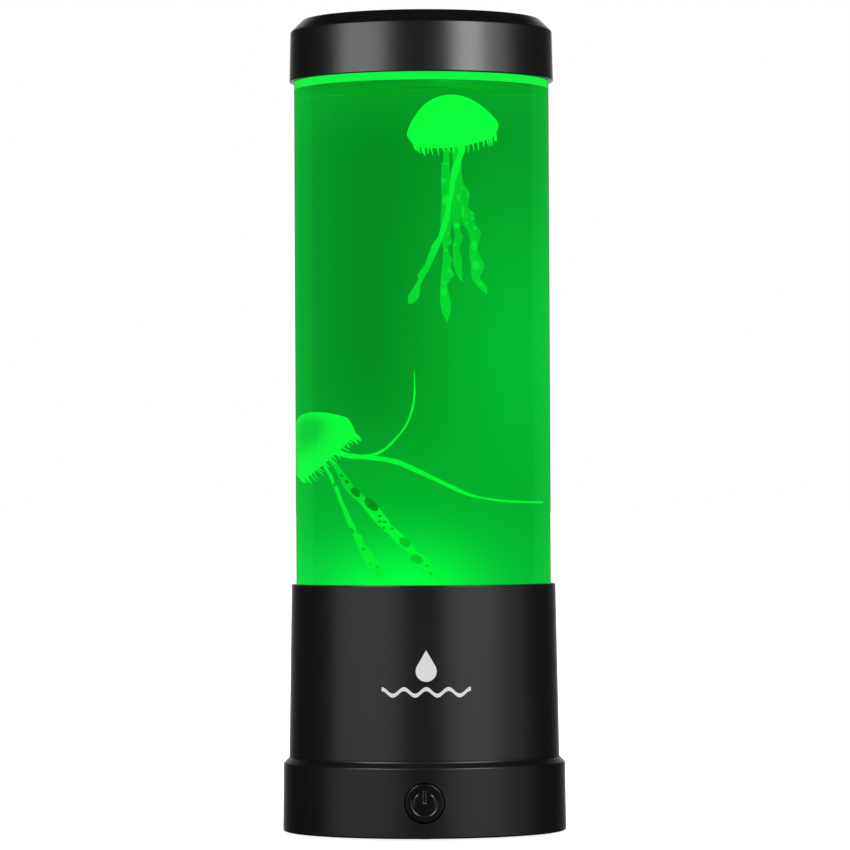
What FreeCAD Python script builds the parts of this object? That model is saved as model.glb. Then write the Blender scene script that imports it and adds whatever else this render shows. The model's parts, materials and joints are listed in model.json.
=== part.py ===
import FreeCAD, Part
import math
import os

# Jellyfish lamp: a sealed water tank with two artificial jellyfish, on a black base that
# holds a magnetic stirrer, a ring of coloured lights and a touch-size power button.
# Millimetres. +Z is up, the front (button side) is -Y, and the origin is the centre of the
# plane that the rubber feet stand on.

V = FreeCAD.Vector
UP = V(0, 0, 1)
BACK = V(0, 1, 0)
GAP = 0.05                  # slip between parts that are assembled by hand
RUNNING = 0.05              # radial clearance of a running fit

# Outer shape
FOOT_LOW = 0.6              # underside of the foot above the table
FOOT_R = 40.0
FOOT_TOP_R = 39.75
FOOT_TOP = 19.8             # where the shoulder bevel starts
BEVEL_TOP = 21.4            # where it meets the lip under the housing
FOOT_CORNER = 0.5           # rounding of the bottom corner
HOUSING_LOW = 22.0          # seam between foot and housing
HOUSING_LOW_R = 38.15
HOUSING_TOP = 70.2
HOUSING_TOP_R = 37.3
CAP_LOW = 212.0
CAP_LOW_R = 37.33
CAP_SHOULDER = 226.1        # where the cap's top chamfer starts
CAP_SHOULDER_R = 36.98
CAP_TOP = 229.5
CAP_TOP_R = 33.5

# Tank
TUBE_R = 36.0
TUBE_BORE = 33.0
TUBE_LOW = 62.0
TUBE_TOP = 214.9
FLANGE_R = 35.9
PLUG_R = 32.9               # floor and lid plugs inside the tube
FLOOR_LOW = 60.0
FLOOR_TOP = 65.5
LID_LOW = 209.8
LID_TOP = 216.9
WELL_R = 14.5
WELL_BORE = 13.0
WELL_LOW = 52.0
WELL_FLOOR = 53.2
SEAL_R = 0.78               # section radius of both O-rings
SEAL_RING_R = 32.2
FLOOR_SEAL_Z = 63.9
LID_SEAL_Z = 213.4
FILM_THICK = 0.35
FILM_BORE = 32.6
FILM_LOW = 65.7
FILM_TOP = 209.75
FILM_HALF_ANGLE = 88.0      # the film backs the rear half; the front half is clear
WATER_R = 32.5
WATER_TOP = 209.5
FILL_HOLE_R = 6.0

# Base interior
FOOT_BORE = 37.4
FOOT_FLOOR = 2.8
SPIGOT_R = 37.2
SPIGOT_LOW = 14.0
HOUSING_BORE = 35.6
LEDGE_LOW = 58.4
LEDGE_BORE = 33.0
TANK_SOCKET_R = 36.1
BASE_SCREW_RING = 31.0
PILLAR_TOP = 12.5
BOSS_TOP = 26.0
BOSS_R = 3.6
FOOT_PAD_R = 5.0
FOOT_PAD_RING = 26.5
FOOT_PAD_TOP = 1.0

# Drive
CHASSIS_LOW = 53.5
CHASSIS_TOP = 55.5
CHASSIS_R = 26.8
CHASSIS_BORE = 15.5
CHASSIS_SCREW_RING = 31.5
CHASSIS_ANGLES = (90, 210, 330)
LED_BOARD_LOW = 56.2
LED_BOARD_TOP = 57.4
LED_RING = 21.5
LED_COUNT = 8
MOTOR_R = 12.2
MOTOR_LOW = 31.0
MOTOR_TOP = 44.0
SHAFT_R = 1.0
BRACKET_TOP = 45.2
HUB_LOW = 46.5
HUB_TOP = 51.0
DRIVE_R = 10.0
MAGNET_R = 2.5
MAGNET_RING = 7.0
IMPELLER_LOW = 54.0
IMPELLER_DECK = 57.0
IMPELLER_TOP = 61.8
IMPELLER_R = 11.6
VANE_COUNT = 6

# Electronics
BOARD_LOW = 4.0
BOARD_TOP = 5.6
BUTTON_Z = 10.4
BUTTON_R = 5.4
BUTTON_HOLE_R = 5.65
SWITCH_FRONT = -33.2
USB_HALF_W = 4.47
USB_HALF_H = 1.63
USB_Z = BOARD_TOP + USB_HALF_H
USB_MOUTH = 38.9
USB_BACK = 31.6
LEAD_R = 0.6

# Jellyfish
UPPER_BELL_R = 10.5
LOWER_BELL_R = 9.8
BELL_HEIGHT = 12.4
BELL_SWELL = 2.2            # height of the bell's widest place above its rim
BELL_THICK = 0.5
RIM_INSET = 0.8             # how much narrower the rim is than the widest place
FRINGE = 2.2
FRINGE_COUNT = 24
UPPER_BELL = V(7.5, -8.0, 195.0)
UPPER_TILT = -8.0           # degrees about +Y; negative lifts the right side
LOWER_BELL = V(-20.9, 0.0, 107.0)
LOWER_TILT = -43.0
RIBBON_THICK = 0.5
HUB_BEAD_R = 3.3
HUB_BEAD_LOW = -1.6
HUB_BEAD_TOP = -0.4


def disc(radius, low, high, x=0.0, y=0.0):
    return Part.makeCylinder(radius, high - low, V(x, y, low))


def ring(outer, inner, low, high, x=0.0, y=0.0):
    return disc(outer, low, high, x, y).cut(disc(inner, low, high, x, y))


def block(x_range, y_range, z_range):
    size = [pair[1] - pair[0] for pair in (x_range, y_range, z_range)]
    return Part.makeBox(size[0], size[1], size[2], V(x_range[0], y_range[0], z_range[0]))


def rod_back(radius, front, rear, x=0.0, z=0.0):
    """A round bar along +Y."""
    return Part.makeCylinder(radius, rear - front, V(x, front, z), BACK)


def turned(corners):
    """A solid turned about Z from its (radius, height) corners."""
    wire = Part.makePolygon([V(r, 0, z) for r, z in corners + corners[:1]])
    return Part.Face(wire).revolve(V(0, 0, 0), UP, 360)


def spot(angle, radius):
    """The (x, y) of a place on a ring, its angle in degrees from +X."""
    turn = math.radians(angle)
    return radius * math.cos(turn), radius * math.sin(turn)


def spun(shape, angle):
    copy = shape.copy()
    copy.rotate(V(0, 0, 0), UP, angle)
    return copy


def around(shape, count, start=0.0):
    return [spun(shape, start + 360.0 * index / count) for index in range(count)]


def fused(shapes):
    whole = shapes[0].multiFuse(shapes[1:]) if len(shapes) > 1 else shapes[0]
    return whole.removeSplitter()


def level_edges(shape, radius, height):
    """Round edges of one radius at one height."""
    near = 0.02
    found = []
    for edge in shape.Edges:
        box = edge.BoundBox
        flat = abs(box.ZMin - height) < near and abs(box.ZMax - height) < near
        if flat and abs(box.XMax - radius) < near:
            found.append(edge)
    return found


def seal_groove(height):
    """The space an O-ring sits in, cut from a plug's side."""
    half = SEAL_R + GAP
    return ring(PLUG_R + 1, SEAL_RING_R - SEAL_R - GAP, height - half, height + half)


def save(node, shapes):
    solids = []
    for shape in shapes:
        solids.extend(shape.Solids)
    for solid in solids:
        if not solid.isValid():
            print("not valid:", node)
    whole = solids[0] if len(solids) == 1 else Part.makeCompound(solids)
    whole.exportStep("parts/" + node + ".step")
    print("%-18s %2d solids %9.1f mm3" % (node, len(solids), whole.Volume))


# --- Outer shells -----------------------------------------------------------------------

def top_cap():
    step = LID_TOP + GAP
    ceiling = CAP_TOP - 2.0
    shell = turned([
        (TUBE_R + 2 * GAP, CAP_LOW), (CAP_LOW_R, CAP_LOW), (CAP_SHOULDER_R, CAP_SHOULDER),
        (CAP_TOP_R, CAP_TOP), (0, CAP_TOP), (0, ceiling), (CAP_TOP_R - 1.0, ceiling),
        (CAP_SHOULDER_R - 2.2, CAP_SHOULDER - 1.0), (CAP_SHOULDER_R - 2.2, step),
        (TUBE_R + 2 * GAP, step)])
    shell = shell.makeFillet(0.35, level_edges(shell, CAP_LOW_R, CAP_LOW))
    shell = shell.makeFillet(0.5, level_edges(shell, CAP_SHOULDER_R, CAP_SHOULDER))
    return shell.makeFillet(0.6, level_edges(shell, CAP_TOP_R, CAP_TOP))


def housing_skin(extra):
    """The housing's outer cone, grown by extra."""
    return Part.makeCone(HOUSING_LOW_R + extra, HOUSING_TOP_R + extra,
                         HOUSING_TOP - HOUSING_LOW, V(0, 0, HOUSING_LOW))


def base_housing():
    shell = turned([
        (HOUSING_BORE, SPIGOT_LOW), (SPIGOT_R, SPIGOT_LOW), (SPIGOT_R, HOUSING_LOW),
        (HOUSING_LOW_R, HOUSING_LOW), (HOUSING_TOP_R, HOUSING_TOP),
        (TANK_SOCKET_R, HOUSING_TOP), (TANK_SOCKET_R, FLOOR_LOW), (LEDGE_BORE, FLOOR_LOW),
        (LEDGE_BORE, LEDGE_LOW), (HOUSING_BORE, LEDGE_LOW)])
    shell = shell.makeFillet(0.4, level_edges(shell, HOUSING_TOP_R, HOUSING_TOP))
    pieces = [shell]
    rib = block((BASE_SCREW_RING, HOUSING_BORE + 0.6), (-1.2, 1.2), (SPIGOT_LOW, BOSS_TOP))
    for angle in (45, 135, 225, 315):
        x, y = spot(angle, BASE_SCREW_RING)
        pieces += [disc(BOSS_R, PILLAR_TOP + GAP, BOSS_TOP, x, y), spun(rib, angle)]
    for angle in CHASSIS_ANGLES:
        x, y = spot(angle, CHASSIS_SCREW_RING)
        pieces.append(disc(3.0, CHASSIS_TOP + GAP, LEDGE_LOW + 0.4, x, y))
    housing = fused(pieces)
    for angle in (45, 135, 225, 315):
        x, y = spot(angle, BASE_SCREW_RING)
        housing = housing.cut(disc(1.3, PILLAR_TOP, BOSS_TOP - 2.0, x, y))
    for angle in CHASSIS_ANGLES:
        x, y = spot(angle, CHASSIS_SCREW_RING)
        housing = housing.cut(disc(1.05, CHASSIS_TOP, LEDGE_LOW - 0.2, x, y))
    flange_notch = block((-8.0, 8.0), (-FOOT_R, -34.0), (SPIGOT_LOW - 1, BUTTON_Z + 7.6))
    return housing.cut(flange_notch)


def foot_outline():
    """The foot's outer form as a full solid."""
    form = turned([(0, FOOT_LOW), (FOOT_R, FOOT_LOW), (FOOT_TOP_R, FOOT_TOP),
                   (HOUSING_LOW_R, BEVEL_TOP), (HOUSING_LOW_R, HOUSING_LOW), (0, HOUSING_LOW)])
    form = form.makeFillet(FOOT_CORNER, level_edges(form, FOOT_R, FOOT_LOW))
    form = form.makeFillet(0.5, level_edges(form, HOUSING_LOW_R, BEVEL_TOP))
    return form.makeFillet(0.45, level_edges(form, FOOT_TOP_R, FOOT_TOP))


def usb_slot(grow, front, rear):
    """The rounded slot of the charging inlet, along +Y."""
    half_h = USB_HALF_H + grow
    half_w = USB_HALF_W + grow
    flat = half_w - half_h
    middle = block((-flat, flat), (front, rear), (USB_Z - half_h, USB_Z + half_h))
    ends = [rod_back(half_h, front, rear, x, USB_Z) for x in (-flat, flat)]
    return fused([middle] + ends)


def base_foot():
    foot = foot_outline().cut(disc(FOOT_BORE, FOOT_FLOOR, HOUSING_LOW + 1))
    pieces = [foot]
    for angle in (45, 135, 225, 315):
        x, y = spot(angle, BASE_SCREW_RING)
        pieces.append(disc(4.4, FOOT_FLOOR - 0.2, PILLAR_TOP, x, y))
    for x, y in board_posts():
        pieces.append(disc(2.4, FOOT_FLOOR - 0.2, BOARD_LOW, x, y))
    foot = fused(pieces)
    for angle in (45, 135, 225, 315):
        x, y = spot(angle, BASE_SCREW_RING)
        foot = foot.cut(disc(1.6, 0, PILLAR_TOP + 1, x, y))
        foot = foot.cut(disc(3.1, 0, 4.0, x, y))
    for angle in (0, 90, 180, 270):
        x, y = spot(angle, FOOT_PAD_RING)
        foot = foot.cut(disc(FOOT_PAD_R + 0.1, 0, FOOT_PAD_TOP, x, y))
    for x, y in board_posts():
        foot = foot.cut(disc(0.95, FOOT_FLOOR - 1.2, BOARD_LOW + 1, x, y))
    foot = foot.cut(rod_back(BUTTON_HOLE_R, -FOOT_R - 1, -30.0, 0, BUTTON_Z))
    foot = foot.cut(rod_back(7.2, -36.7, -30.0, 0, BUTTON_Z))
    return foot.cut(usb_slot(0.25, 30.0, FOOT_R + 1))


def base_screws():
    screws = []
    for angle in (45, 135, 225, 315):
        x, y = spot(angle, BASE_SCREW_RING)
        head = disc(2.8, 2.1, 4.0, x, y)
        cross = [block((x - 1.5, x + 1.5), (y - 0.3, y + 0.3), (2.0, 3.0)),
                 block((x - 0.3, x + 0.3), (y - 1.5, y + 1.5), (2.0, 3.0))]
        screw = head.fuse(disc(1.25, 4.0, 23.0, x, y)).cut(fused(cross))
        screws.append(screw.removeSplitter())
    return screws


def rubber_feet():
    pads = []
    for angle in (0, 90, 180, 270):
        x, y = spot(angle, FOOT_PAD_RING)
        pad = disc(FOOT_PAD_R, 0, FOOT_PAD_TOP, x, y)
        lower = [edge for edge in pad.Edges if edge.BoundBox.ZMax < GAP]
        pads.append(pad.makeChamfer(0.25, lower))
    return pads


# --- Tank -------------------------------------------------------------------------------

def tank_tube():
    return ring(TUBE_R, TUBE_BORE, TUBE_LOW, TUBE_TOP)


def tank_floor():
    body = turned([
        (0, WELL_LOW), (WELL_R, WELL_LOW), (WELL_R, FLOOR_LOW), (FLANGE_R, FLOOR_LOW),
        (FLANGE_R, TUBE_LOW), (PLUG_R, TUBE_LOW), (PLUG_R, FLOOR_TOP),
        (WELL_BORE, FLOOR_TOP), (WELL_BORE, WELL_FLOOR), (0, WELL_FLOOR)])
    body = body.cut(disc(SHAFT_R, WELL_FLOOR - 0.6, WELL_FLOOR))
    return body.cut(seal_groove(FLOOR_SEAL_Z))


def tank_lid():
    body = disc(PLUG_R, LID_LOW, TUBE_TOP).fuse(disc(FLANGE_R, TUBE_TOP, LID_TOP))
    body = body.cut(disc(FILL_HOLE_R, LID_LOW - 1, LID_TOP + 1))
    return body.cut(seal_groove(LID_SEAL_Z)).removeSplitter()


def seal(height):
    return Part.makeTorus(SEAL_RING_R, SEAL_R, V(0, 0, height))


def fill_plug():
    stem_low = LID_TOP - 5.6
    rim = LID_TOP + 1.6
    stem_r = FILL_HOLE_R - RUNNING
    body = turned([(0, stem_low), (stem_r - 0.6, stem_low), (stem_r, stem_low + 0.8),
                   (stem_r, LID_TOP), (8.6, LID_TOP), (8.6, rim - 0.4), (8.2, rim), (0, rim)])
    tab = rod_back(2.6, -0.8, 0.8, 0, rim + 0.2).cut(rod_back(1.3, -1, 1, 0, rim + 0.4))
    tab = tab.common(disc(6, rim - 0.2, rim + 5))
    return fused([body, tab])


def diffuser_film():
    film = ring(FILM_BORE + FILM_THICK, FILM_BORE, FILM_LOW, FILM_TOP)
    half = math.radians(FILM_HALF_ANGLE)
    reach = 2 * TUBE_R
    side = reach * math.sin(half)
    edge = reach * math.cos(half)
    outline = Part.makePolygon([V(0, 0, 0), V(side, edge, 0), V(side, reach, 0),
                                V(-side, reach, 0), V(-side, edge, 0), V(0, 0, 0)])
    return film.common(Part.Face(outline).extrude(V(0, 0, FILM_TOP + 1)))


def impeller_pin():
    return disc(SHAFT_R, WELL_FLOOR - 0.6, IMPELLER_TOP + 1.6)


def magnet_pair(low, high, grow=0.0):
    return [disc(MAGNET_R + grow, low, high, x, 0) for x in (-MAGNET_RING, MAGNET_RING)]


def impeller():
    deck = disc(IMPELLER_R, IMPELLER_LOW, IMPELLER_DECK)
    boss = disc(2.8, IMPELLER_DECK, IMPELLER_TOP)
    vane = block((2.0, IMPELLER_R), (-0.5, 0.5), (IMPELLER_DECK - 0.2, IMPELLER_TOP))
    body = fused([deck, boss] + around(vane, VANE_COUNT, 15.0))
    body = body.cut(disc(SHAFT_R + RUNNING, IMPELLER_LOW - 1, IMPELLER_TOP + 1))
    for pocket in magnet_pair(IMPELLER_LOW - 1, IMPELLER_LOW + 2.5):
        body = body.cut(pocket)
    return body


def impeller_guard():
    plate = disc(16.0, FLOOR_TOP, FLOOR_TOP + 1.2)
    holes = []
    for radius, count, size in ((10.5, 12, 1.7), (5.2, 6, 1.5)):
        for index in range(count):
            x, y = spot(360.0 * index / count, radius)
            holes.append(disc(size, FLOOR_TOP - 1, FLOOR_TOP + 2, x, y))
    return plate.cut(Part.makeCompound(holes))


# --- Jellyfish --------------------------------------------------------------------------

def placed(shape, centre, tilt):
    """A jellyfish part from its own frame (rim centre at zero) to its place in the tank."""
    moved = shape.copy()
    moved.rotate(V(0, 0, 0), BACK, tilt)
    moved.translate(centre)
    return moved


def bell_curve(radius, inset):
    """Half of a bell's section, from the top of its crown over the swell to the rim."""
    steps = 10
    reach, rise = radius - inset, BELL_HEIGHT - BELL_SWELL - inset
    points = []
    for step in range(steps + 1):
        share = math.sin(math.pi / 2 * step / steps)
        points.append(V(reach * share, 0, BELL_SWELL + rise * (1 - share ** 2.2) ** 0.85))
    points.append(V(reach - 0.3 * RIM_INSET, 0, BELL_SWELL / 2))
    points.append(V(reach - RIM_INSET, 0, 0))
    curve = Part.BSplineCurve()
    curve.interpolate(points)
    return curve.toShape()


def crown(radius):
    outer, inner = bell_curve(radius, 0), bell_curve(radius, BELL_THICK)
    rim = Part.makeLine(outer.Vertexes[-1].Point, inner.Vertexes[-1].Point)
    top = Part.makeLine(inner.Vertexes[0].Point, outer.Vertexes[0].Point)
    section = Part.Face(Part.Wire([outer, rim, inner, top]))
    return section.revolve(V(0, 0, 0), UP, 360)


def bell(radius):
    rim = radius - RIM_INSET
    skirt = ring(rim, rim - BELL_THICK, -FRINGE, 0)
    notch = block((rim - 2, rim + 1), (-0.55, 0.55), (-FRINGE - 1, -0.4))
    skirt = skirt.cut(Part.makeCompound(around(notch, FRINGE_COUNT)))
    return fused([crown(radius), skirt])


def hub(radius):
    """The bead that the tentacles hang from, on its stem under the crown."""
    bead = disc(HUB_BEAD_R, HUB_BEAD_LOW, HUB_BEAD_TOP)
    stem = disc(0.8, HUB_BEAD_TOP - 0.2, BELL_HEIGHT - BELL_THICK + 0.2)
    return fused([bead, stem]).cut(crown(radius))


def edge_curve(points):
    curve = Part.BSplineCurve()
    curve.interpolate([V(x, 0, z) for x, z in points])
    return curve.toShape()


def ribbon(points, widths, depth, swing=0.0, holes=()):
    """A flat strip along (x, z) points, with round (x, z, radius) holes.

    swing turns its plane about the vertical at its root.
    """
    left, right = [], []
    for index, (x, z) in enumerate(points):
        before = points[max(index - 1, 0)]
        after = points[min(index + 1, len(points) - 1)]
        run = math.hypot(after[0] - before[0], after[1] - before[1])
        half = widths[index] / 2.0
        side_x = -(after[1] - before[1]) / run * half
        side_z = (after[0] - before[0]) / run * half
        left.append((x + side_x, z + side_z))
        right.append((x - side_x, z - side_z))
    ends = [Part.makeLine(V(a[0], 0, a[1]), V(b[0], 0, b[1]))
            for a, b in ((left[-1], right[-1]), (right[0], left[0]))]
    wire = Part.Wire([edge_curve(left), ends[0], edge_curve(right[::-1]), ends[1]])
    strip = Part.Face(wire).extrude(V(0, RIBBON_THICK, 0))
    for x, z, radius in holes:
        strip = strip.cut(Part.makeCylinder(radius, 4, V(x, -2, z), BACK))
    strip.translate(V(0, depth - RIBBON_THICK / 2.0, 0))
    strip.rotate(V(points[0][0], depth, 0), UP, swing)
    return strip


def bent_tube(points, radius, name):
    """A tube of straight runs joined by tangent arcs, each as large as its runs allow."""
    spots = [V(*point) for point in points]
    edges, start, radii = [], spots[0], []
    for before, corner, after in zip(spots, spots[1:], spots[2:]):
        back, ahead = before - corner, after - corner
        shorter = min(back.Length, ahead.Length)
        turn = math.pi - back.getAngle(ahead)
        reach = 0.45 * shorter
        radii.append(reach / math.tan(turn / 2.0))
        first = corner + V(back).normalize() * reach
        last = corner + V(ahead).normalize() * reach
        inward = (V(back).normalize() + V(ahead).normalize()).normalize()
        sagitta = radii[-1] * (1.0 / math.cos(turn / 2.0) - 1.0)
        edges.append(Part.makeLine(start, first))
        edges.append(Part.Arc(first, corner + inward * sagitta, last).toShape())
        start = last
    edges.append(Part.makeLine(start, spots[-1]))
    length = sum(edge.Length for edge in edges)
    path = Part.Wire(edges)
    section = Part.Wire(Part.Circle(spots[0], spots[1] - spots[0], radius).toShape())
    tube = path.makePipeShell([section], True, True)
    ideal = math.pi * radius * radius * length
    print(name, "arc radii", [round(r, 1) for r in radii],
          "volume ratio %.4f" % (tube.Volume / ideal))
    return tube


def upper_tentacles():
    front = ribbon([(8.9, 194.0), (7.8, 186.0), (6.8, 179.0), (5.5, 172.0), (4.0, 167.0),
                    (2.0, 161.8), (0.0, 156.5), (-1.1, 153.7), (-2.2, 150.5), (-2.9, 148.4)],
                   [1.4, 1.9, 1.1, 1.3, 1.4, 1.5, 1.6, 1.3, 2.1, 0.8], -10.2)
    left = ribbon([(5.6, 194.0), (5.5, 184.8), (5.5, 173.6), (5.6, 166.0), (5.3, 163.8),
                   (5.7, 161.0), (5.8, 156.8), (5.0, 153.5), (5.2, 149.0), (5.7, 143.8)],
                  [1.2, 2.0, 2.5, 2.3, 1.2, 2.1, 2.9, 1.6, 2.4, 0.5], -8.6)
    middle = ribbon([(7.5, 194.0), (7.8, 182.0), (7.9, 171.7), (8.4, 167.5), (7.8, 164.4),
                     (8.1, 160.0), (8.4, 157.0), (9.0, 155.1)],
                    [1.3, 1.6, 1.9, 1.9, 1.4, 2.0, 1.2, 0.4], -7.2)
    right = ribbon([(8.4, 194.0), (8.4, 184.6), (9.4, 179.5), (9.5, 176.0), (10.5, 171.2),
                    (11.9, 168.5), (11.6, 163.9), (12.5, 159.2), (12.0, 156.0), (13.5, 153.3),
                    (14.3, 151.6)],
                   [1.2, 1.3, 2.3, 1.7, 2.6, 2.7, 1.9, 2.8, 1.7, 1.7, 0.5], -5.8)
    bead = placed(hub(UPPER_BELL_R), UPPER_BELL, UPPER_TILT)
    return [strip.cut(bead) for strip in (front, left, middle, right)]


def lower_tentacles():
    wide = ribbon([(-20.3, 106.2), (-17.9, 102.4), (-16.0, 98.9), (-13.2, 94.9),
                   (-10.7, 91.2), (-8.3, 87.6), (-5.9, 84.2), (-3.6, 80.6), (-1.0, 77.5),
                   (2.2, 72.3)], [1.0, 1.1, 1.4, 2.1, 2.2, 2.1, 1.9, 1.5, 2.1, 1.2], 0.9, 14.0,
                  [(-16.0, 99.0, 0.3), (-13.7, 95.6, 0.6), (-11.2, 92.0, 0.7),
                   (-9.2, 89.0, 0.3), (-7.4, 86.4, 0.35), (-3.8, 81.0, 0.4),
                   (-1.2, 77.6, 0.6), (0.6, 74.8, 0.35)])
    narrow = ribbon([(-21.9, 104.8), (-20.2, 101.0), (-19.2, 98.2), (-18.2, 95.0),
                     (-16.8, 91.1), (-15.0, 86.0), (-13.6, 82.8), (-12.7, 79.5),
                     (-11.9, 76.0), (-11.3, 73.8)],
                    [1.2, 0.9, 0.8, 0.9, 1.0, 1.2, 1.4, 1.3, 1.2, 0.5], -1.2, 18.0,
                    [(-14.6, 84.9, 0.25), (-12.9, 80.3, 0.3)])
    curl = bent_tube([(-19.5, 0.8, 106.8), (-16.7, 1.6, 106.2), (-12.2, 4.0, 105.6),
                      (-7.9, 6.6, 108.3), (-4.2, 7.6, 113.9), (-2.2, 8.0, 121.6),
                      (-1.6, 8.3, 130.0)], 0.45, "lower curl")
    trail = bent_tube([(-19.7, -0.8, 106.6), (-15.6, 1.4, 105.0), (-10.2, 5.2, 105.4),
                       (-4.0, 8.4, 103.9), (4.0, 10.0, 98.7), (11.0, 10.4, 94.7),
                       (17.5, 10.0, 93.4), (23.3, 10.0, 93.1)], 0.45, "lower trail")
    bead = placed(hub(LOWER_BELL_R), LOWER_BELL, LOWER_TILT)
    return [piece.cut(bead) for piece in (wide, narrow, curl, trail)]


def water():
    """The filling, with room left round each jellyfish where it floats."""
    guard_top = FLOOR_TOP + 1.3
    body = turned([(0, guard_top), (16.2, guard_top), (16.2, FLOOR_TOP + 0.1),
                   (WATER_R, FLOOR_TOP + 0.1), (WATER_R, WATER_TOP), (0, WATER_TOP)])
    low, wide, top = -FRINGE - 0.5, UPPER_BELL_R + 0.9, BELL_HEIGHT + 0.6
    room = turned([(0, low), (wide, low), (wide, BELL_SWELL + 2.8), (6.0, top), (0, top)])
    pockets = [
        placed(room, UPPER_BELL, UPPER_TILT),
        block((-5.5, 16.5), (-12.5, -4.5), (142.5, 196.0)),
        placed(room, LOWER_BELL, LOWER_TILT),
        block((-25.5, 5.0), (-2.2, 9.0), (71.0, 110.0)),
        block((-21.0, 25.0), (-2.2, 12.0), (92.0, 131.0))]
    return body.cut(pockets[0].multiFuse(pockets[1:]))


# --- Drive ------------------------------------------------------------------------------

def inner_chassis():
    plate = disc(CHASSIS_R, CHASSIS_LOW, CHASSIS_TOP)
    pieces = [plate]
    for angle in CHASSIS_ANGLES:
        x, y = spot(angle, CHASSIS_SCREW_RING)
        arm = block((CHASSIS_R - 2, CHASSIS_SCREW_RING), (-3.2, 3.2), (CHASSIS_LOW, CHASSIS_TOP))
        pieces += [disc(3.2, CHASSIS_LOW, CHASSIS_TOP, x, y), spun(arm, angle)]
    for angle in (30, 150, 270):
        x, y = spot(angle, 24.2)
        pieces.append(disc(1.8, CHASSIS_TOP - 0.2, LED_BOARD_LOW, x, y))
    body = fused(pieces).cut(disc(CHASSIS_BORE, CHASSIS_LOW - 1, CHASSIS_TOP + 2))
    for angle in CHASSIS_ANGLES:
        x, y = spot(angle, CHASSIS_SCREW_RING)
        body = body.cut(disc(1.3, CHASSIS_LOW - 1, CHASSIS_TOP + 1, x, y))
    for angle in bracket_angles():
        x, y = spot(angle, 22.0)
        body = body.cut(disc(0.8, CHASSIS_LOW - 1, CHASSIS_TOP + 1, x, y))
    return body.cut(disc(3.6, CHASSIS_LOW - 1, CHASSIS_TOP + 1, 0, 22.0))


def bracket_angles():
    return (0, 120, 240)


def chassis_screws():
    screws = []
    for angle in CHASSIS_ANGLES:
        x, y = spot(angle, CHASSIS_SCREW_RING)
        shank = disc(1.0, CHASSIS_LOW, LEDGE_LOW - 0.4, x, y)
        screws.append(disc(2.0, CHASSIS_LOW - 1.4, CHASSIS_LOW, x, y).fuse(shank))
    return screws


def led_board():
    board = ring(26.4, 16.4, LED_BOARD_LOW, LED_BOARD_TOP)
    return board.cut(disc(2.2, LED_BOARD_LOW - 1, LED_BOARD_TOP + 1, 0, -24.8))


def rgb_leds():
    base = block((LED_RING - 2.5, LED_RING + 2.5), (-2.5, 2.5),
                 (LED_BOARD_TOP, LED_BOARD_TOP + 1.0))
    lens = disc(1.9, LED_BOARD_TOP + 0.9, LED_BOARD_TOP + 1.5, LED_RING, 0)
    return around(base.fuse(lens).removeSplitter(), LED_COUNT, 22.5)


def motor_can():
    can = ring(MOTOR_R, MOTOR_R - 0.8, MOTOR_LOW, MOTOR_TOP)
    lid = disc(MOTOR_R, MOTOR_TOP - 0.8, MOTOR_TOP)
    body = fused([can, lid]).cut(disc(SHAFT_R + RUNNING, MOTOR_TOP - 2, MOTOR_TOP + 1))
    for x in (-8.0, 8.0):
        body = body.cut(disc(0.8, MOTOR_TOP - 2, MOTOR_TOP + 1, x, 0))
    return body


def motor_end_bell():
    plate = disc(MOTOR_R - 0.85, MOTOR_LOW, MOTOR_LOW + 1.6)
    bearing = disc(3.0, MOTOR_LOW - 1.6, MOTOR_LOW + 0.2)
    posts = [disc(1.0, MOTOR_LOW - 2.0, MOTOR_LOW + 0.2, x, 5.0) for x in (-5.0, 5.0)]
    body = fused([plate, bearing] + posts)
    return body.cut(disc(SHAFT_R + RUNNING, MOTOR_LOW - 1.0, MOTOR_LOW + 2))


def motor_field_magnets():
    shell = ring(MOTOR_R - 0.85, 9.9, MOTOR_LOW + 2.2, MOTOR_TOP - 1.6)
    slab = block((-20, 20), (-6.5, 6.5), (MOTOR_LOW, MOTOR_TOP))
    return shell.common(slab).Solids


def motor_armature():
    low, high = MOTOR_LOW + 2.8, MOTOR_TOP - 2.2
    core = disc(9.4, low, high)
    slot = block((5.5, 10.0), (-0.7, 0.7), (low - 1, high + 1))
    hollow = disc(1.8, low - 1, high + 1, 5.6, 0)
    cuts = around(slot, 3, 30.0) + around(hollow, 3, 30.0)
    core = core.cut(Part.makeCompound(cuts))
    return core.cut(disc(SHAFT_R, low - 1, high + 1))


def motor_shaft():
    return disc(SHAFT_R, MOTOR_LOW - 0.8, HUB_TOP - 1.0)


def drive_hub():
    body = disc(DRIVE_R, HUB_LOW, HUB_TOP).cut(disc(SHAFT_R, HUB_LOW - 1, HUB_TOP - 1.0))
    return body.cut(Part.makeCompound(magnet_pair(HUB_TOP - 3.0, HUB_TOP + 1)))


def motor_bracket():
    pieces = [disc(20.0, MOTOR_TOP, BRACKET_TOP)]
    leg = block((18.4, 20.0), (-3.5, 3.5), (MOTOR_TOP, CHASSIS_LOW))
    tab = block((18.4, 24.5), (-3.5, 3.5), (CHASSIS_LOW - 1.2, CHASSIS_LOW))
    for angle in bracket_angles():
        pieces += [spun(leg, angle), spun(tab, angle)]
    body = fused(pieces).cut(disc(3.0, MOTOR_TOP - 1, BRACKET_TOP + 1))
    for x in (-8.0, 8.0):
        body = body.cut(disc(0.9, MOTOR_TOP - 1, BRACKET_TOP + 1, x, 0))
    for angle in bracket_angles():
        x, y = spot(angle, 22.0)
        body = body.cut(disc(0.9, CHASSIS_LOW - 2, CHASSIS_LOW + 1, x, y))
    return body


def motor_screws():
    screws = []
    for x in (-8.0, 8.0):
        shank = disc(0.75, MOTOR_TOP - 0.7, BRACKET_TOP, x, 0)
        screws.append(disc(1.5, BRACKET_TOP, BRACKET_TOP + 0.9, x, 0).fuse(shank))
    return screws


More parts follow.
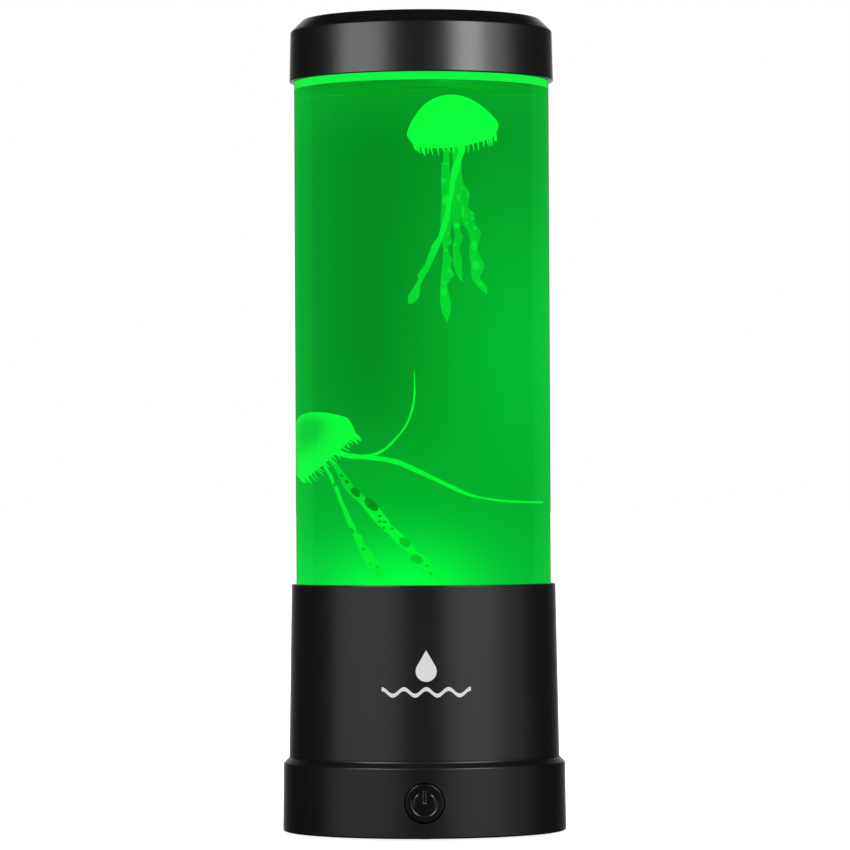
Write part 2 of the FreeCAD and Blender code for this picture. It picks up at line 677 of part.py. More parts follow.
def bracket_screws():
    low = CHASSIS_LOW - 1.2
    screws = []
    for angle in bracket_angles():
        x, y = spot(angle, 22.0)
        shank = disc(0.75, low, CHASSIS_TOP - 0.2, x, y)
        screws.append(disc(1.5, low - 0.9, low, x, y).fuse(shank))
    return screws


# --- Electronics ------------------------------------------------------------------------

def board_posts():
    return ((-12.5, -24.0), (12.5, -24.0), (-12.5, 24.0), (12.5, 24.0))


def control_board():
    board = fused([block((-16, 16), (-29.5, 28), (BOARD_LOW, BOARD_TOP)),
                   block((-7, 7), (27, 36.2), (BOARD_LOW, BOARD_TOP))])
    for x, y in board_posts():
        board = board.cut(disc(1.1, BOARD_LOW - 1, BOARD_TOP + 1, x, y))
    return board


def board_screws():
    screws = []
    for x, y in board_posts():
        shank = disc(0.9, FOOT_FLOOR - 0.8, BOARD_TOP, x, y)
        screws.append(disc(1.9, BOARD_TOP, BOARD_TOP + 1.2, x, y).fuse(shank))
    return screws


def controller_chip():
    body = block((-3.0, 3.0), (-5.0, 5.0), (BOARD_TOP + 0.15, BOARD_TOP + 1.75))
    leg = block((-4.4, 4.4), (-0.2, 0.2), (BOARD_TOP, BOARD_TOP + 0.35))
    legs = []
    for index in range(8):
        copy = leg.copy()
        copy.translate(V(0, -4.445 + 1.27 * index, 0))
        legs.append(copy)
    return fused([body] + legs)


def capacitor():
    body = disc(3.2, BOARD_TOP, BOARD_TOP + 8.0, -9.5, 15.0)
    return body.makeFillet(0.5, body.Edges)


def lead_connectors():
    motor = block((8.0, 14.0), (6.0, 10.0), (BOARD_TOP, BOARD_TOP + 5.0))
    lights = block((-14.0, -6.0), (-14.0, -10.0), (BOARD_TOP, BOARD_TOP + 5.0))
    return [motor, lights]


def switch_body():
    body = block((-3.1, 3.1), (SWITCH_FRONT, -29.6), (BOARD_TOP, BUTTON_Z + 3.1))
    return body.cut(rod_back(1.75, SWITCH_FRONT - 1, SWITCH_FRONT + 1.6, 0, BUTTON_Z))


def switch_plunger():
    return rod_back(1.65, SWITCH_FRONT - 1.4, SWITCH_FRONT + 0.9, 0, BUTTON_Z)


def usb_shell():
    return usb_slot(0.0, USB_BACK, USB_MOUTH).cut(usb_slot(-0.3, USB_BACK + 0.6, USB_MOUTH + 1))


def usb_tongue():
    blade = block((-3.3, 3.3), (USB_BACK + 0.6, USB_MOUTH - 1.2), (USB_Z - 0.35, USB_Z + 0.35))
    root = usb_slot(-0.3, USB_BACK + 0.6, USB_BACK + 2.2)
    return fused([blade, root])


def power_symbol():
    """A ring with a gap at the top and a bar through the gap, as a deep prism."""
    front, rear = -FOOT_R, -38.0
    outer, inner, half_bar, bar_top = 3.75, 2.87, 0.48, 3.5
    loop = rod_back(outer, front, rear, 0, BUTTON_Z).cut(
        rod_back(inner, front, rear, 0, BUTTON_Z))
    reach = 6.0
    half = math.radians(36.0)
    wedge = Part.makePolygon([
        V(0, front, BUTTON_Z),
        V(reach * math.sin(half), front, BUTTON_Z + reach * math.cos(half)),
        V(-reach * math.sin(half), front, BUTTON_Z + reach * math.cos(half)),
        V(0, front, BUTTON_Z)])
    loop = loop.cut(Part.Face(wedge).extrude(V(0, rear - front, 0)))
    bar = block((-half_bar, half_bar), (front, rear), (BUTTON_Z + 0.3, BUTTON_Z + bar_top))
    ends = [rod_back(half_bar, front, rear, 0, BUTTON_Z + z) for z in (0.3, bar_top)]
    return [loop, fused([bar] + ends)]


def power_button():
    face_r = FOOT_TOP_R - 0.1
    engraving = 0.25
    face = rod_back(BUTTON_R, -FOOT_R, -36.0, 0, BUTTON_Z).common(disc(face_r, 0, FOOT_TOP))
    rim = [edge for edge in face.Edges if edge.BoundBox.YMax < -38.0 and edge.Length > BUTTON_R]
    face = face.makeFillet(0.4, rim)
    skin = ring(FOOT_R + 1, face_r - engraving, 0, FOOT_TOP)
    for mark in power_symbol():
        face = face.cut(mark.common(skin))
    flange = rod_back(6.6, -36.6, -35.6, 0, BUTTON_Z)
    stem = rod_back(2.2, -35.7, SWITCH_FRONT - 1.4, 0, BUTTON_Z)
    return fused([face, flange, stem])


def motor_leads():
    leads = []
    for side, x in ((-1, -5.0), (1, 5.0)):
        end_x = 11.0 + side * 1.25
        leads.append(bent_tube([(x, 5.0, MOTOR_LOW - 2.0), (x, 5.0, 22.0),
                                (end_x, 8.0, 17.0), (end_x, 8.0, BOARD_TOP + 5.0)],
                               LEAD_R, "motor lead"))
    return leads


def led_leads():
    leads = []
    for index in range(4):
        x = -2.1 + 1.4 * index
        end_x = -12.1 + 1.4 * index
        leads.append(bent_tube([(x, 22.0, LED_BOARD_LOW), (x, 22.0, 42.0),
                                (x - 8.0, 17.0, 27.0), (end_x, -12.0, 20.0),
                                (end_x, -12.0, BOARD_TOP + 5.0)], LEAD_R, "light lead"))
    return leads


# --- Printed mark -----------------------------------------------------------------------

def drop_face():
    """A water drop: a round belly under a pointed top."""
    radius = 2.9
    centre_z = 46.6
    tip = V(0, 0, 52.4)
    reach = tip.z - centre_z
    angle = math.acos(radius / reach)
    right = V(radius * math.sin(angle), 0, centre_z + radius * math.cos(angle))
    left = V(-right.x, 0, right.z)
    belly = Part.Arc(right, V(0, 0, centre_z - radius), left).toShape()
    return Part.Face(Part.Wire([Part.makeLine(tip, right), belly, Part.makeLine(left, tip)]))


def wave_face():
    """A level line of waves under the drop."""
    half_length = 12.3
    waves = 4
    level, swell, half_stroke = 40.8, 0.9, 0.55
    count = waves * 8
    upper, lower = [], []
    for index in range(count + 1):
        x = half_length * (2.0 * index / count - 1.0)
        z = level + swell * math.cos(2 * math.pi * waves * index / count)
        upper.append((x, z + half_stroke))
        lower.append((x, z - half_stroke))
    ends = [Part.makeLine(V(a[0], 0, a[1]), V(b[0], 0, b[1]))
            for a, b in ((upper[-1], lower[-1]), (lower[0], upper[0]))]
    return Part.Face(Part.Wire([edge_curve(upper), ends[0], edge_curve(lower[::-1]), ends[1]]))


def front_mark():
    film = housing_skin(0.08).cut(housing_skin(0.0))
    marks = []
    for face in (drop_face(), wave_face()):
        prism = face.copy()
        prism.translate(V(0.6, -45.0, 0))
        marks.append(prism.extrude(V(0, 20.0, 0)).common(film))
    return marks


PIECES = {
    "top_cap": lambda: [top_cap()],
    "tank_lid": lambda: [tank_lid()],
    "lid_seal": lambda: [seal(LID_SEAL_Z)],
    "fill_plug": lambda: [fill_plug()],
    "tank_tube": lambda: [tank_tube()],
    "diffuser_film": lambda: [diffuser_film()],
    "water": lambda: [water()],
    "tank_floor": lambda: [tank_floor()],
    "floor_seal": lambda: [seal(FLOOR_SEAL_Z)],
    "impeller_pin": lambda: [impeller_pin()],
    "impeller": lambda: [impeller()],
    "impeller_magnets": lambda: magnet_pair(IMPELLER_LOW, IMPELLER_LOW + 2.5),
    "impeller_guard": lambda: [impeller_guard()],
    "upper_bell": lambda: [placed(bell(UPPER_BELL_R), UPPER_BELL, UPPER_TILT)],
    "upper_hub": lambda: [placed(hub(UPPER_BELL_R), UPPER_BELL, UPPER_TILT)],
    "upper_tentacles": upper_tentacles,
    "lower_bell": lambda: [placed(bell(LOWER_BELL_R), LOWER_BELL, LOWER_TILT)],
    "lower_hub": lambda: [placed(hub(LOWER_BELL_R), LOWER_BELL, LOWER_TILT)],
    "lower_tentacles": lower_tentacles,
    "base_housing": lambda: [base_housing()],
    "base_foot": lambda: [base_foot()],
    "base_screws": base_screws,
    "rubber_feet": rubber_feet,
    "inner_chassis": lambda: [inner_chassis()],
    "chassis_screws": chassis_screws,
    "led_board": lambda: [led_board()],
    "rgb_leds": rgb_leds,
    "motor_can": lambda: [motor_can()],
    "motor_end_bell": lambda: [motor_end_bell()],
    "motor_field_magnets": motor_field_magnets,
    "motor_armature": lambda: [motor_armature()],
    "motor_shaft": lambda: [motor_shaft()],
    "drive_hub": lambda: [drive_hub()],
    "drive_magnets": lambda: magnet_pair(HUB_TOP - 3.0, HUB_TOP),
    "motor_bracket": lambda: [motor_bracket()],
    "motor_screws": motor_screws,
    "bracket_screws": bracket_screws,
    "control_board": lambda: [control_board()],
    "board_screws": board_screws,
    "controller_chip": lambda: [controller_chip()],
    "capacitor": lambda: [capacitor()],
    "lead_connectors": lead_connectors,
    "switch_body": lambda: [switch_body()],
    "switch_plunger": lambda: [switch_plunger()],
    "usb_shell": lambda: [usb_shell()],
    "usb_tongue": lambda: [usb_tongue()],
    "power_button": lambda: [power_button()],
    "motor_leads": motor_leads,
    "led_leads": led_leads,
    "front_mark": front_mark,
}

os.makedirs("parts", exist_ok=True)
for node_name, make in PIECES.items():
    save(node_name, make())
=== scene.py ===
import json
import math
import random

import bmesh
import bpy
from mathutils import Matrix, Vector


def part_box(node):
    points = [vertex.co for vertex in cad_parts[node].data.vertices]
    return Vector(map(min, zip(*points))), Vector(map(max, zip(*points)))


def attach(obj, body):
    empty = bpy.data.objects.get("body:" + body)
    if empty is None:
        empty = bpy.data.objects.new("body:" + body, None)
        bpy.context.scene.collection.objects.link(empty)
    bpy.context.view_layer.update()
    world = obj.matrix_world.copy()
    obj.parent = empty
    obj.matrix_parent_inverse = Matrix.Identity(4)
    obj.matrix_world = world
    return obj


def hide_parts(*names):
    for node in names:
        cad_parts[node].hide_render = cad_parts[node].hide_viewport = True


# The looks of the jellyfish lamp. Lengths below are millimetres, turned to metres by MM.
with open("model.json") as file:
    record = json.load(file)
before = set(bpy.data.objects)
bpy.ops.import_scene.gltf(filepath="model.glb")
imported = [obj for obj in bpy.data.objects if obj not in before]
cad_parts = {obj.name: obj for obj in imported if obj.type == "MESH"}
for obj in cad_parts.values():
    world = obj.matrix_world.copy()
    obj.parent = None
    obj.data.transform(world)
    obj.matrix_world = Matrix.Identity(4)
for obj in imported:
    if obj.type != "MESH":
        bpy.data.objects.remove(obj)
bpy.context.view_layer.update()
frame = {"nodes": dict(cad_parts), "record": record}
nodes = frame["nodes"]
MM = 0.001

# Places taken from the CAD frame, in millimetres
low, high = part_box("tank_tube")
TUBE_R = high.x / MM
TUBE_LOW, TUBE_TOP = low.z / MM, high.z / MM
TUBE_WALL = 3.0
TUBE_BORE = TUBE_R - TUBE_WALL
low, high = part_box("tank_floor")
FLOOR_TOP = high.z / MM
low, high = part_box("tank_lid")
LID_LOW = low.z / MM
CAP_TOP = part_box("top_cap")[1].z / MM
low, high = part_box("impeller_guard")
GUARD_R, GUARD_TOP = high.x / MM, high.z / MM

# Where each jellyfish's rim is centred, how far it tips sideways and forwards in degrees,
# and its bell's sizes
UPPER_BELL, UPPER_TILT, UPPER_LEAN = Vector((7.5, -6.5, 195.1)), -8.0, 18.0
UPPER_SIZES = {"radius": 10.5, "rim": 9.5, "swell": 2.5, "crown": 9.9}
LOWER_BELL, LOWER_TILT = Vector((-21.4, 0.0, 106.3)), -43.5
LOWER_SIZES = {"radius": 10.8, "rim": 9.3, "swell": 4.2, "crown": 9.2}

FILM_GREEN = (0.004, 1.0, 0.14, 1.0)        # the backdrop's light, before the water filters it
JELLY_GREEN = (0.006, 1.0, 0.062, 1.0)      # the jellyfish's light
STAGE_GREEN = (0.002, 1.0, 0.05)            # the soft boxes that the tube's face mirrors
BLACK = ((0.0018, 0.0018, 0.0019), (0.0030, 0.0030, 0.0031))    # the shells' two tones
SHELL_ROUGH = 0.33
ACRYLIC_BEND = 1.49                         # refractive indices
WATER_BEND = 1.333


# --- Node helpers -----------------------------------------------------------------------

class Shader:
    """Short calls for building one material's nodes."""

    def __init__(self, name):
        self.material = bpy.data.materials.new(name)
        self.material.use_nodes = True
        self.tree = self.material.node_tree
        self.principled = self.tree.nodes["Principled BSDF"]
        self.output = self.tree.nodes["Material Output"]
        self.place = self.add("ShaderNodeTexCoord").outputs["Object"]

    def add(self, kind, **settings):
        node = self.tree.nodes.new(kind)
        for key, value in settings.items():
            setattr(node, key, value)
        return node

    def wire(self, source, socket):
        if isinstance(source, (int, float, tuple)):
            socket.default_value = source
        else:
            self.tree.links.new(source, socket)

    def put(self, **values):
        """Sets or links Principled inputs; the names use _ for spaces."""
        for name, value in values.items():
            self.wire(value, self.principled.inputs[name.replace("_", " ")])

    def math(self, operation, first, second=0.0, third=0.0):
        node = self.add("ShaderNodeMath", operation=operation)
        for socket, value in zip(node.inputs, (first, second, third)):
            self.wire(value, socket)
        return node.outputs[0]

    def axes(self):
        split = self.add("ShaderNodeSeparateXYZ")
        self.wire(self.place, split.inputs[0])
        return split.outputs

    def bump_at(self, value, centre, width):
        """A soft hump of height 1 round centre, in metres."""
        offset = self.math("MULTIPLY_ADD", value, 1.0 / width, -centre / width)
        return self.math("EXPONENT", self.math("MULTIPLY", self.math(
            "MULTIPLY", offset, offset), -1.0))

    def slope(self, value, start, end):
        """0 before start and 1 after end, smooth between."""
        node = self.add("ShaderNodeMapRange", interpolation_type="SMOOTHSTEP")
        self.wire(value, node.inputs["Value"])
        node.inputs["From Min"].default_value = start
        node.inputs["From Max"].default_value = end
        return node.outputs[0]

    def noise(self, size, detail=3.0, stretch=(1, 1, 1)):
        """Noise about 0.5 whose features are about size metres."""
        mapping = self.add("ShaderNodeMapping")
        self.wire(self.place, mapping.inputs["Vector"])
        mapping.inputs["Scale"].default_value = stretch
        node = self.add("ShaderNodeTexNoise")
        self.wire(mapping.outputs[0], node.inputs["Vector"])
        node.inputs["Scale"].default_value = 1.0 / size
        node.inputs["Detail"].default_value = detail
        return node.outputs["Fac"]

    def between(self, factor, first, second):
        node = self.add("ShaderNodeMix", data_type="RGBA")
        self.wire(factor, node.inputs["Factor"])
        node.inputs[6].default_value = first
        node.inputs[7].default_value = second
        return node.outputs[2]

    def scaled(self, value, low, high):
        """value from 0..1 to low..high."""
        return self.math("MULTIPLY_ADD", value, high - low, low)

    def grain(self, height, size, strength=1.0):
        bump = self.add("ShaderNodeBump")
        bump.inputs["Strength"].default_value = strength
        bump.inputs["Distance"].default_value = height
        self.wire(size, bump.inputs["Height"])
        self.wire(bump.outputs[0], self.principled.inputs["Normal"])


def moulded_shader(name, dark, light, rough, grain_size=0.00035, grain_height=0.00001,
                   shine=0.5):
    """Moulded plastic or rubber: fine surface grain and a faint uneven tone and gloss."""
    shader = Shader(name)
    cloud = shader.noise(0.012, 4.0)
    shader.put(Base_Color=shader.between(cloud, (*dark, 1.0), (*light, 1.0)),
               Roughness=shader.scaled(cloud, rough - 0.03, rough + 0.03),
               Specular_IOR_Level=shine)
    shader.grain(grain_height, shader.noise(grain_size, 2.0))
    return shader


def moulded(*settings, **more):
    return moulded_shader(*settings, **more).material


def cap_plastic():
    """The black plastic, with its top face painted as shade: a dark matt surface that mirrors no
    light.
    """
    shaded_top_depth = 0.1
    shader = moulded_shader("cap_plastic_look", *BLACK, SHELL_ROUGH)
    # Painted shade: the top face gives up the gloss for a dark matt surface
    top = shader.math("GREATER_THAN", shader.axes()[2], (CAP_TOP - shaded_top_depth) * MM)
    painted_shade_top = shader.add("ShaderNodeBsdfDiffuse")
    painted_shade_top.inputs["Color"].default_value = (0.006, 0.006, 0.006, 1)
    mix = shader.add("ShaderNodeMixShader")
    shader.wire(top, mix.inputs[0])
    shader.wire(shader.principled.outputs[0], mix.inputs[1])
    shader.wire(painted_shade_top.outputs[0], mix.inputs[2])
    shader.wire(mix.outputs[0], shader.output.inputs["Surface"])
    return shader.material


def metal(name, dark, light, rough, stretch=(1, 1, 12)):
    """Bare metal with fine turning marks along the stretch."""
    shader = Shader(name)
    marks = shader.noise(0.0008, 3.0, stretch)
    shader.put(Base_Color=shader.between(marks, (*dark, 1.0), (*light, 1.0)), Metallic=1.0,
               Roughness=shader.scaled(marks, rough - 0.05, rough + 0.08))
    shader.grain(0.000004, marks)
    return shader.material


def film_glow(shader):
    """Painted light on the frosted film: the LEDs' light painted into its glow, dim in the middle,
    brighter to the right, brightest low down.

    Places and widths are in metres; each part's share of the light is given at the end.
    """
    x, _, z = shader.axes()
    right = shader.math("MULTIPLY", shader.slope(x, -0.011, 0.016),
                        shader.bump_at(z, 0.138, 0.054))
    left = shader.slope(x, -0.006, -0.018)
    far_left = shader.math("MULTIPLY", shader.slope(x, -0.012, -0.024),
                           shader.slope(z, 0.074, 0.094))
    # Painted light: a halo, a pool of the LEDs' light low down, a glow over the tank floor and one
    # under the lid
    halo = shader.math("MULTIPLY", shader.bump_at(z, 0.100, 0.016),
                       shader.bump_at(x, -0.008, 0.012))
    spot = shader.math("MULTIPLY", shader.bump_at(z, 0.064, 0.019),
                       shader.bump_at(x, -0.0033, 0.0140))
    floor_light = shader.bump_at(z, 0.066, 0.036)
    under_lid = shader.bump_at(z, 0.2105, 0.010)
    darkest, right_share = 0.258, 0.25
    total = shader.math("MULTIPLY_ADD", right, right_share, darkest)
    for part, amount in ((left, 0.05), (far_left, 0.10), (halo, 0.10), (spot, 0.79),
                         (floor_light, 0.10), (under_lid, 0.07)):
        total = shader.math("MULTIPLY_ADD", part, amount, total)
    mottle = shader.scaled(shader.noise(0.0011, 2.0), 0.975, 1.025)
    return shader.math("MULTIPLY", total, mottle)


def glowing_film():
    shader = Shader("frosted_film_look")
    shader.put(Base_Color=shader.between(shader.noise(0.003), (0.0, 0.02, 0.001, 1),
                                         (0.0, 0.035, 0.002, 1)),
               Roughness=0.75, Specular_IOR_Level=0.1,
               Emission_Color=FILM_GREEN, Emission_Strength=film_glow(shader))
    return shader.material


def lit_lid():
    """Painted light on the lid: it glows where light leaves the edge of its plug and over the fill
    hole, with painted shade higher up under the cap.
    """
    shader = Shader("lit_lid_look")
    x, y, z = shader.axes()
    reach = shader.math("SQRT", shader.math("MULTIPLY_ADD", x, x, shader.math("MULTIPLY", y, y)))
    plug_edge, underside, under_cap, fill_hole = 0.0312, LID_LOW * MM, 0.2150, 0.0062
    edge = shader.math("MULTIPLY", shader.slope(reach, plug_edge - 0.0012, plug_edge),
                       shader.slope(z, underside + 0.00012, underside + 0.00022))
    # Painted shade: the glow dims higher up under the cap, and painted light brightens the fill
    # hole
    deep = shader.slope(z, under_cap, under_cap + 0.0022)
    hole = shader.slope(reach, fill_hole, fill_hole - 0.0001)
    glow = shader.math("MULTIPLY_ADD", hole, 0.08, shader.scaled(edge, 0.19, 0.97))
    glow = shader.math("MULTIPLY", glow, shader.scaled(deep, 1, 0.35))
    glow = shader.math("MULTIPLY", glow, shader.scaled(shader.noise(0.002), 0.97, 1.03))
    shader.put(Base_Color=shader.between(shader.noise(0.004), (0.02, 0.25, 0.06, 1),
                                         (0.03, 0.3, 0.08, 1)),
               Roughness=0.25, Specular_IOR_Level=0.1,
               Emission_Color=JELLY_GREEN, Emission_Strength=glow)
    return shader.material


def clear_plastic(name, tint, rough, bend=ACRYLIC_BEND):
    """Clear acrylic with faint hairline polish marks."""
    shader = Shader(name)
    marks = shader.noise(0.0006, 2.0, (1, 1, 0.05))
    shader.put(Base_Color=tint, Roughness=shader.scaled(marks, 0.0, rough),
               Transmission_Weight=1.0, IOR=bend)
    return shader.material


def water_look():
    """Clear green water; the tube's bore does all the bending where the two meet."""
    shader = Shader("water_look")
    shader.put(Base_Color=(1, 1, 1, 1), Roughness=0.0, Transmission_Weight=1.0, IOR=1.0)
    colour = shader.add("ShaderNodeVolumeAbsorption")
    colour.inputs["Color"].default_value = (0.0, 0.996, 0.66, 1.0)
    colour.inputs["Density"].default_value = 45.0
    shader.wire(colour.outputs[0], shader.output.inputs["Volume"])
    return shader.material


def jelly_look(name, dim, bright, size=0.002, fade=None, shade=None):
    """Soft silicone with the LEDs' light from below painted into its glow; dim and bright are the
    glow's limits.

    fade is (low height, high height, glow share at the low end) of painted light that changes with
    height; shade is (centre, size, glow share) of a soft patch of painted shade. Both are in
    metres.
    """
    shader = Shader(name)
    cloud = shader.noise(size, 3.0)
    glow = shader.scaled(cloud, dim, bright)
    if fade:
        low_z, high_z, share = fade
        rise = shader.slope(shader.axes()[2], low_z, high_z)
        glow = shader.math("MULTIPLY", glow, shader.scaled(rise, share, 1.0))
    if shade:
        centre, reach, share = shade
        away = shader.add("ShaderNodeVectorMath", operation="DISTANCE")
        shader.wire(shader.place, away.inputs[0])
        away.inputs[1].default_value = centre
        clear = shader.slope(away.outputs["Value"], reach * 0.3, reach)
        glow = shader.math("MULTIPLY", glow, shader.scaled(clear, share, 1.0))
    shader.put(Base_Color=shader.between(cloud, (0.005, 0.15, 0.015, 1), (0.01, 0.22, 0.02, 1)),
               Roughness=0.45, Specular_IOR_Level=0.2, Emission_Color=JELLY_GREEN,
               Emission_Strength=glow)
    return shader.material


def board_look():
    """Green solder mask with copper tracks just visible under it."""
    shader = Shader("circuit_board_look")
    brick = shader.add("ShaderNodeTexBrick")
    shader.wire(shader.place, brick.inputs["Vector"])
    brick.inputs["Scale"].default_value = 420.0
    brick.inputs["Mortar Size"].default_value = 0.08
    brick.inputs["Color1"].default_value = (0.010, 0.085, 0.030, 1)
    brick.inputs["Color2"].default_value = (0.012, 0.095, 0.034, 1)
    brick.inputs["Mortar"].default_value = (0.03, 0.16, 0.06, 1)
    shader.put(Base_Color=brick.outputs["Color"], Roughness=0.3)
    return shader.material


def led_look():
    """A white case under a lens that glows green."""
    shader = Shader("led_look")
    lens_low = 0.0584
    lens = shader.slope(shader.axes()[2], lens_low, lens_low + 0.0002)
    shader.put(Base_Color=shader.between(lens, (0.8, 0.8, 0.76, 1), (0.75, 0.9, 0.6, 1)),
               Roughness=0.3, Emission_Color=JELLY_GREEN,
               Emission_Strength=shader.scaled(lens, 0.2, 6.0))
    return shader.material


def print_look():
    """Pad-printed ink with slightly uneven cover."""
    shader = Shader("mark_print_look")
    cover = shader.noise(0.0005, 3.0)
    shader.put(Base_Color=shader.between(cover, (0.40, 0.40, 0.40, 1), (0.47, 0.47, 0.47, 1)),
               Roughness=0.55)
    return shader.material


LOOKS = {
    "black_plastic": moulded("black_plastic_look", *BLACK, SHELL_ROUGH),
    "button_plastic": moulded("button_look", (0.0010, 0.0010, 0.0011),
                              (0.0018, 0.0018, 0.0019), 0.22, 0.00025, 0.000004, 0.36),
    "frosted_film": glowing_film(),
    "seal_rubber": moulded("seal_look", (0.008, 0.008, 0.008), (0.016, 0.016, 0.016), 0.55),
    "plug_silicone": jelly_look("plug_look", 0.26, 0.28),
    "foot_rubber": moulded("foot_look", (0.012, 0.012, 0.012), (0.022, 0.022, 0.022), 0.7),
    "white_plastic": moulded("white_look", (0.62, 0.62, 0.60), (0.70, 0.70, 0.68), 0.42),
    "circuit_board": board_look(),
    "component_black": moulded("component_look", (0.012, 0.012, 0.012), (0.02, 0.02, 0.02), 0.5),
    "led_white": led_look(),
    "steel": metal("steel_look", (0.42, 0.42, 0.43), (0.56, 0.56, 0.57), 0.3),
    "zinc_screw": metal("zinc_look", (0.45, 0.46, 0.48), (0.6, 0.61, 0.63), 0.3, (6, 6, 1)),
    "magnet_nickel": metal("nickel_look", (0.58, 0.57, 0.55), (0.66, 0.65, 0.63), 0.2),
    "ferrite": moulded("ferrite_look", (0.03, 0.03, 0.032), (0.05, 0.05, 0.053), 0.6),
    "lead_sheath": moulded("lead_look", (0.35, 0.02, 0.02), (0.45, 0.03, 0.03), 0.45),
    "mark_print": print_look(),
    "clear_acrylic": clear_plastic("clear_acrylic_look", (0.97, 1.0, 0.98, 1), 0.012),
}
NODE_LOOKS = {
    "tank_lid": lit_lid(),
    "top_cap": cap_plastic(),
    "base_foot": moulded("foot_plastic_look", (0.0016, 0.0016, 0.0017),
                         (0.0026, 0.0026, 0.0027), 0.34, shine=0.36),
}
WET_BORE = clear_plastic("wet_bore_look", (1.0, 1.0, 1.0, 1), 0.012, ACRYLIC_BEND / WATER_BEND)
WATER = water_look()
BELL = jelly_look("bell_look", 0.985, 1.03, 0.003)
# Painted shade: a darker patch on the lower bell's left side
SHADED_BELL = jelly_look("shaded_bell_look", 0.985, 1.03, 0.003,
                         shade=((-0.0278, -0.005, 0.1122), 0.0088, 0.60))
THREAD = jelly_look("thread_look", 0.92, 1.06)
PLAIN_RIBBON = jelly_look("plain_ribbon_look", 0.86, 0.96, fade=(0.158, 0.170, 0.80))
THIN_RIBBON = jelly_look("thin_ribbon_look", 0.54, 0.60, fade=(0.150, 0.173, 1.22))
RIBBON_SPOT = jelly_look("ribbon_spot_look", 0.77, 0.85)
LOW_RIBBON = jelly_look("low_ribbon_look", 0.84, 0.94, 0.003)
HALF_RIBBON = jelly_look("half_ribbon_look", 0.64, 0.70, 0.003, fade=(0.088, 0.100, 1.42))
RIBBON_PIT = jelly_look("ribbon_pit_look", 0.26, 0.30, fade=(0.078, 0.094, 2.2))
GLINT_GLOW = jelly_look("glint_look", 0.90, 0.95)

# Slots that aren't in LOOKS are the water's and the jellyfish's, whose nodes are replaced below
for entry in frame["record"]["subparts"]:
    look = NODE_LOOKS.get(entry["node"]) or LOOKS.get(entry["material_slot"], BELL)
    mesh = nodes[entry["node"]].data
    mesh.materials.clear()
    mesh.materials.append(look)


# --- Mesh helpers -----------------------------------------------------------------------

def finish_mesh(name, build, materials, smooth_angle=40.0):
    """Turns a bmesh in millimetres into a smooth-shaded object in metres."""
    merge = 0.001
    bmesh.ops.remove_doubles(build, verts=build.verts, dist=merge)
    bmesh.ops.recalc_face_normals(build, faces=build.faces)
    bmesh.ops.scale(build, vec=(MM, MM, MM), verts=build.verts)
    mesh = bpy.data.meshes.new(name)
    build.to_mesh(mesh)
    build.free()
    for material in materials:
        mesh.materials.append(material)
    mesh.shade_smooth()
    mesh.set_sharp_from_angle(angle=math.radians(smooth_angle))
    thing = bpy.data.objects.new(name, mesh)
    bpy.context.scene.collection.objects.link(thing)
    return thing


def bridge(build, rings):
    """Joins each ring of corners to the next, and returns the faces."""
    faces = []
    for one, two in zip(rings, rings[1:]):
        for index in range(len(one)):
            after = (index + 1) % len(one)
            faces.append(build.faces.new((one[index], one[after], two[after], two[index])))
    return faces


def close_ends(build, rings):
    return [build.faces.new(rings[0]), build.faces.new(rings[-1])]


def ring_turns(count):
    return [2 * math.pi * index / count for index in range(count)]


def turned(name, outline, materials, count=288, closed=True):
    """A piece turned about Z from a (radius, height) outline.

    An outline that isn't closed starts and ends on the axis.
    """
    build = bmesh.new()
    rings = []
    for turn in ring_turns(count):
        rings.append([build.verts.new((r * math.cos(turn), r * math.sin(turn), z))
                      for r, z in outline])
    steps = len(outline) if closed else len(outline) - 1
    for index in range(count):
        here, there = rings[index], rings[(index + 1) % count]
        for side in range(steps):
            after = (side + 1) % len(outline)
            build.faces.new((here[side], there[side], there[after], here[after]))
    return finish_mesh(name, build, materials)


def piece(thing, body, slot, *replaced):
    """Puts a piece on its body and hides the CAD nodes that it stands for; slot is not used."""
    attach(thing, body)
    if replaced:
        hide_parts(*replaced)
    return thing


def smooth_path(points, count):
    """count places along a smooth curve through points, with equal steps of its parameter."""
    places = []
    last = len(points) - 1
    for index in range(count):
        t = last * index / (count - 1)
        start = min(int(t), last - 1)
        local = t - start
        ends = [points[max(start - 1, 0)], points[start], points[start + 1],
                points[min(start + 2, last)]]
        a, b, c, d = [Vector(p) for p in ends]
        places.append(0.5 * ((2 * b) + (c - a) * local + (2 * a - 5 * b + 4 * c - d) * local ** 2
                             + (3 * b - a - 3 * c + d) * local ** 3))
    return places


# --- Tank -------------------------------------------------------------------------------

def tube_outline():
    chamfer = 0.25
    outer, inner = TUBE_R, TUBE_BORE
    return [(inner, TUBE_LOW + chamfer), (inner + chamfer, TUBE_LOW), (outer - chamfer, TUBE_LOW),
            (outer, TUBE_LOW + chamfer), (outer, TUBE_TOP - chamfer), (outer - chamfer, TUBE_TOP),
            (inner + chamfer, TUBE_TOP), (inner, TUBE_TOP - chamfer)]


tube = turned("tube_wall", tube_outline(), [LOOKS["clear_acrylic"], WET_BORE])
for face in tube.data.polygons:
    middle = face.center / MM
    on_bore = math.hypot(middle.x, middle.y) < TUBE_BORE + 0.01
    if on_bore:
        face.material_index = 1
piece(tube, "root", "clear_acrylic", "tank_tube")


def water_outline():
    """The filling: up to the lid's underside, with a thin sleeve round the lid's plug."""
    gap, lid_plug = 0.05, 2.7
    side = TUBE_BORE + gap
    plug = TUBE_BORE - 3 * gap
    floor = FLOOR_TOP + 0.03
    guard, guard_top = GUARD_R + 0.1, GUARD_TOP + gap
    top = LID_LOW + gap
    sleeve_top = LID_LOW + lid_plug
    return [(0.0, guard_top), (guard, guard_top), (guard, floor), (side, floor),
            (side, sleeve_top), (plug, sleeve_top), (plug, top), (0.0, top)]


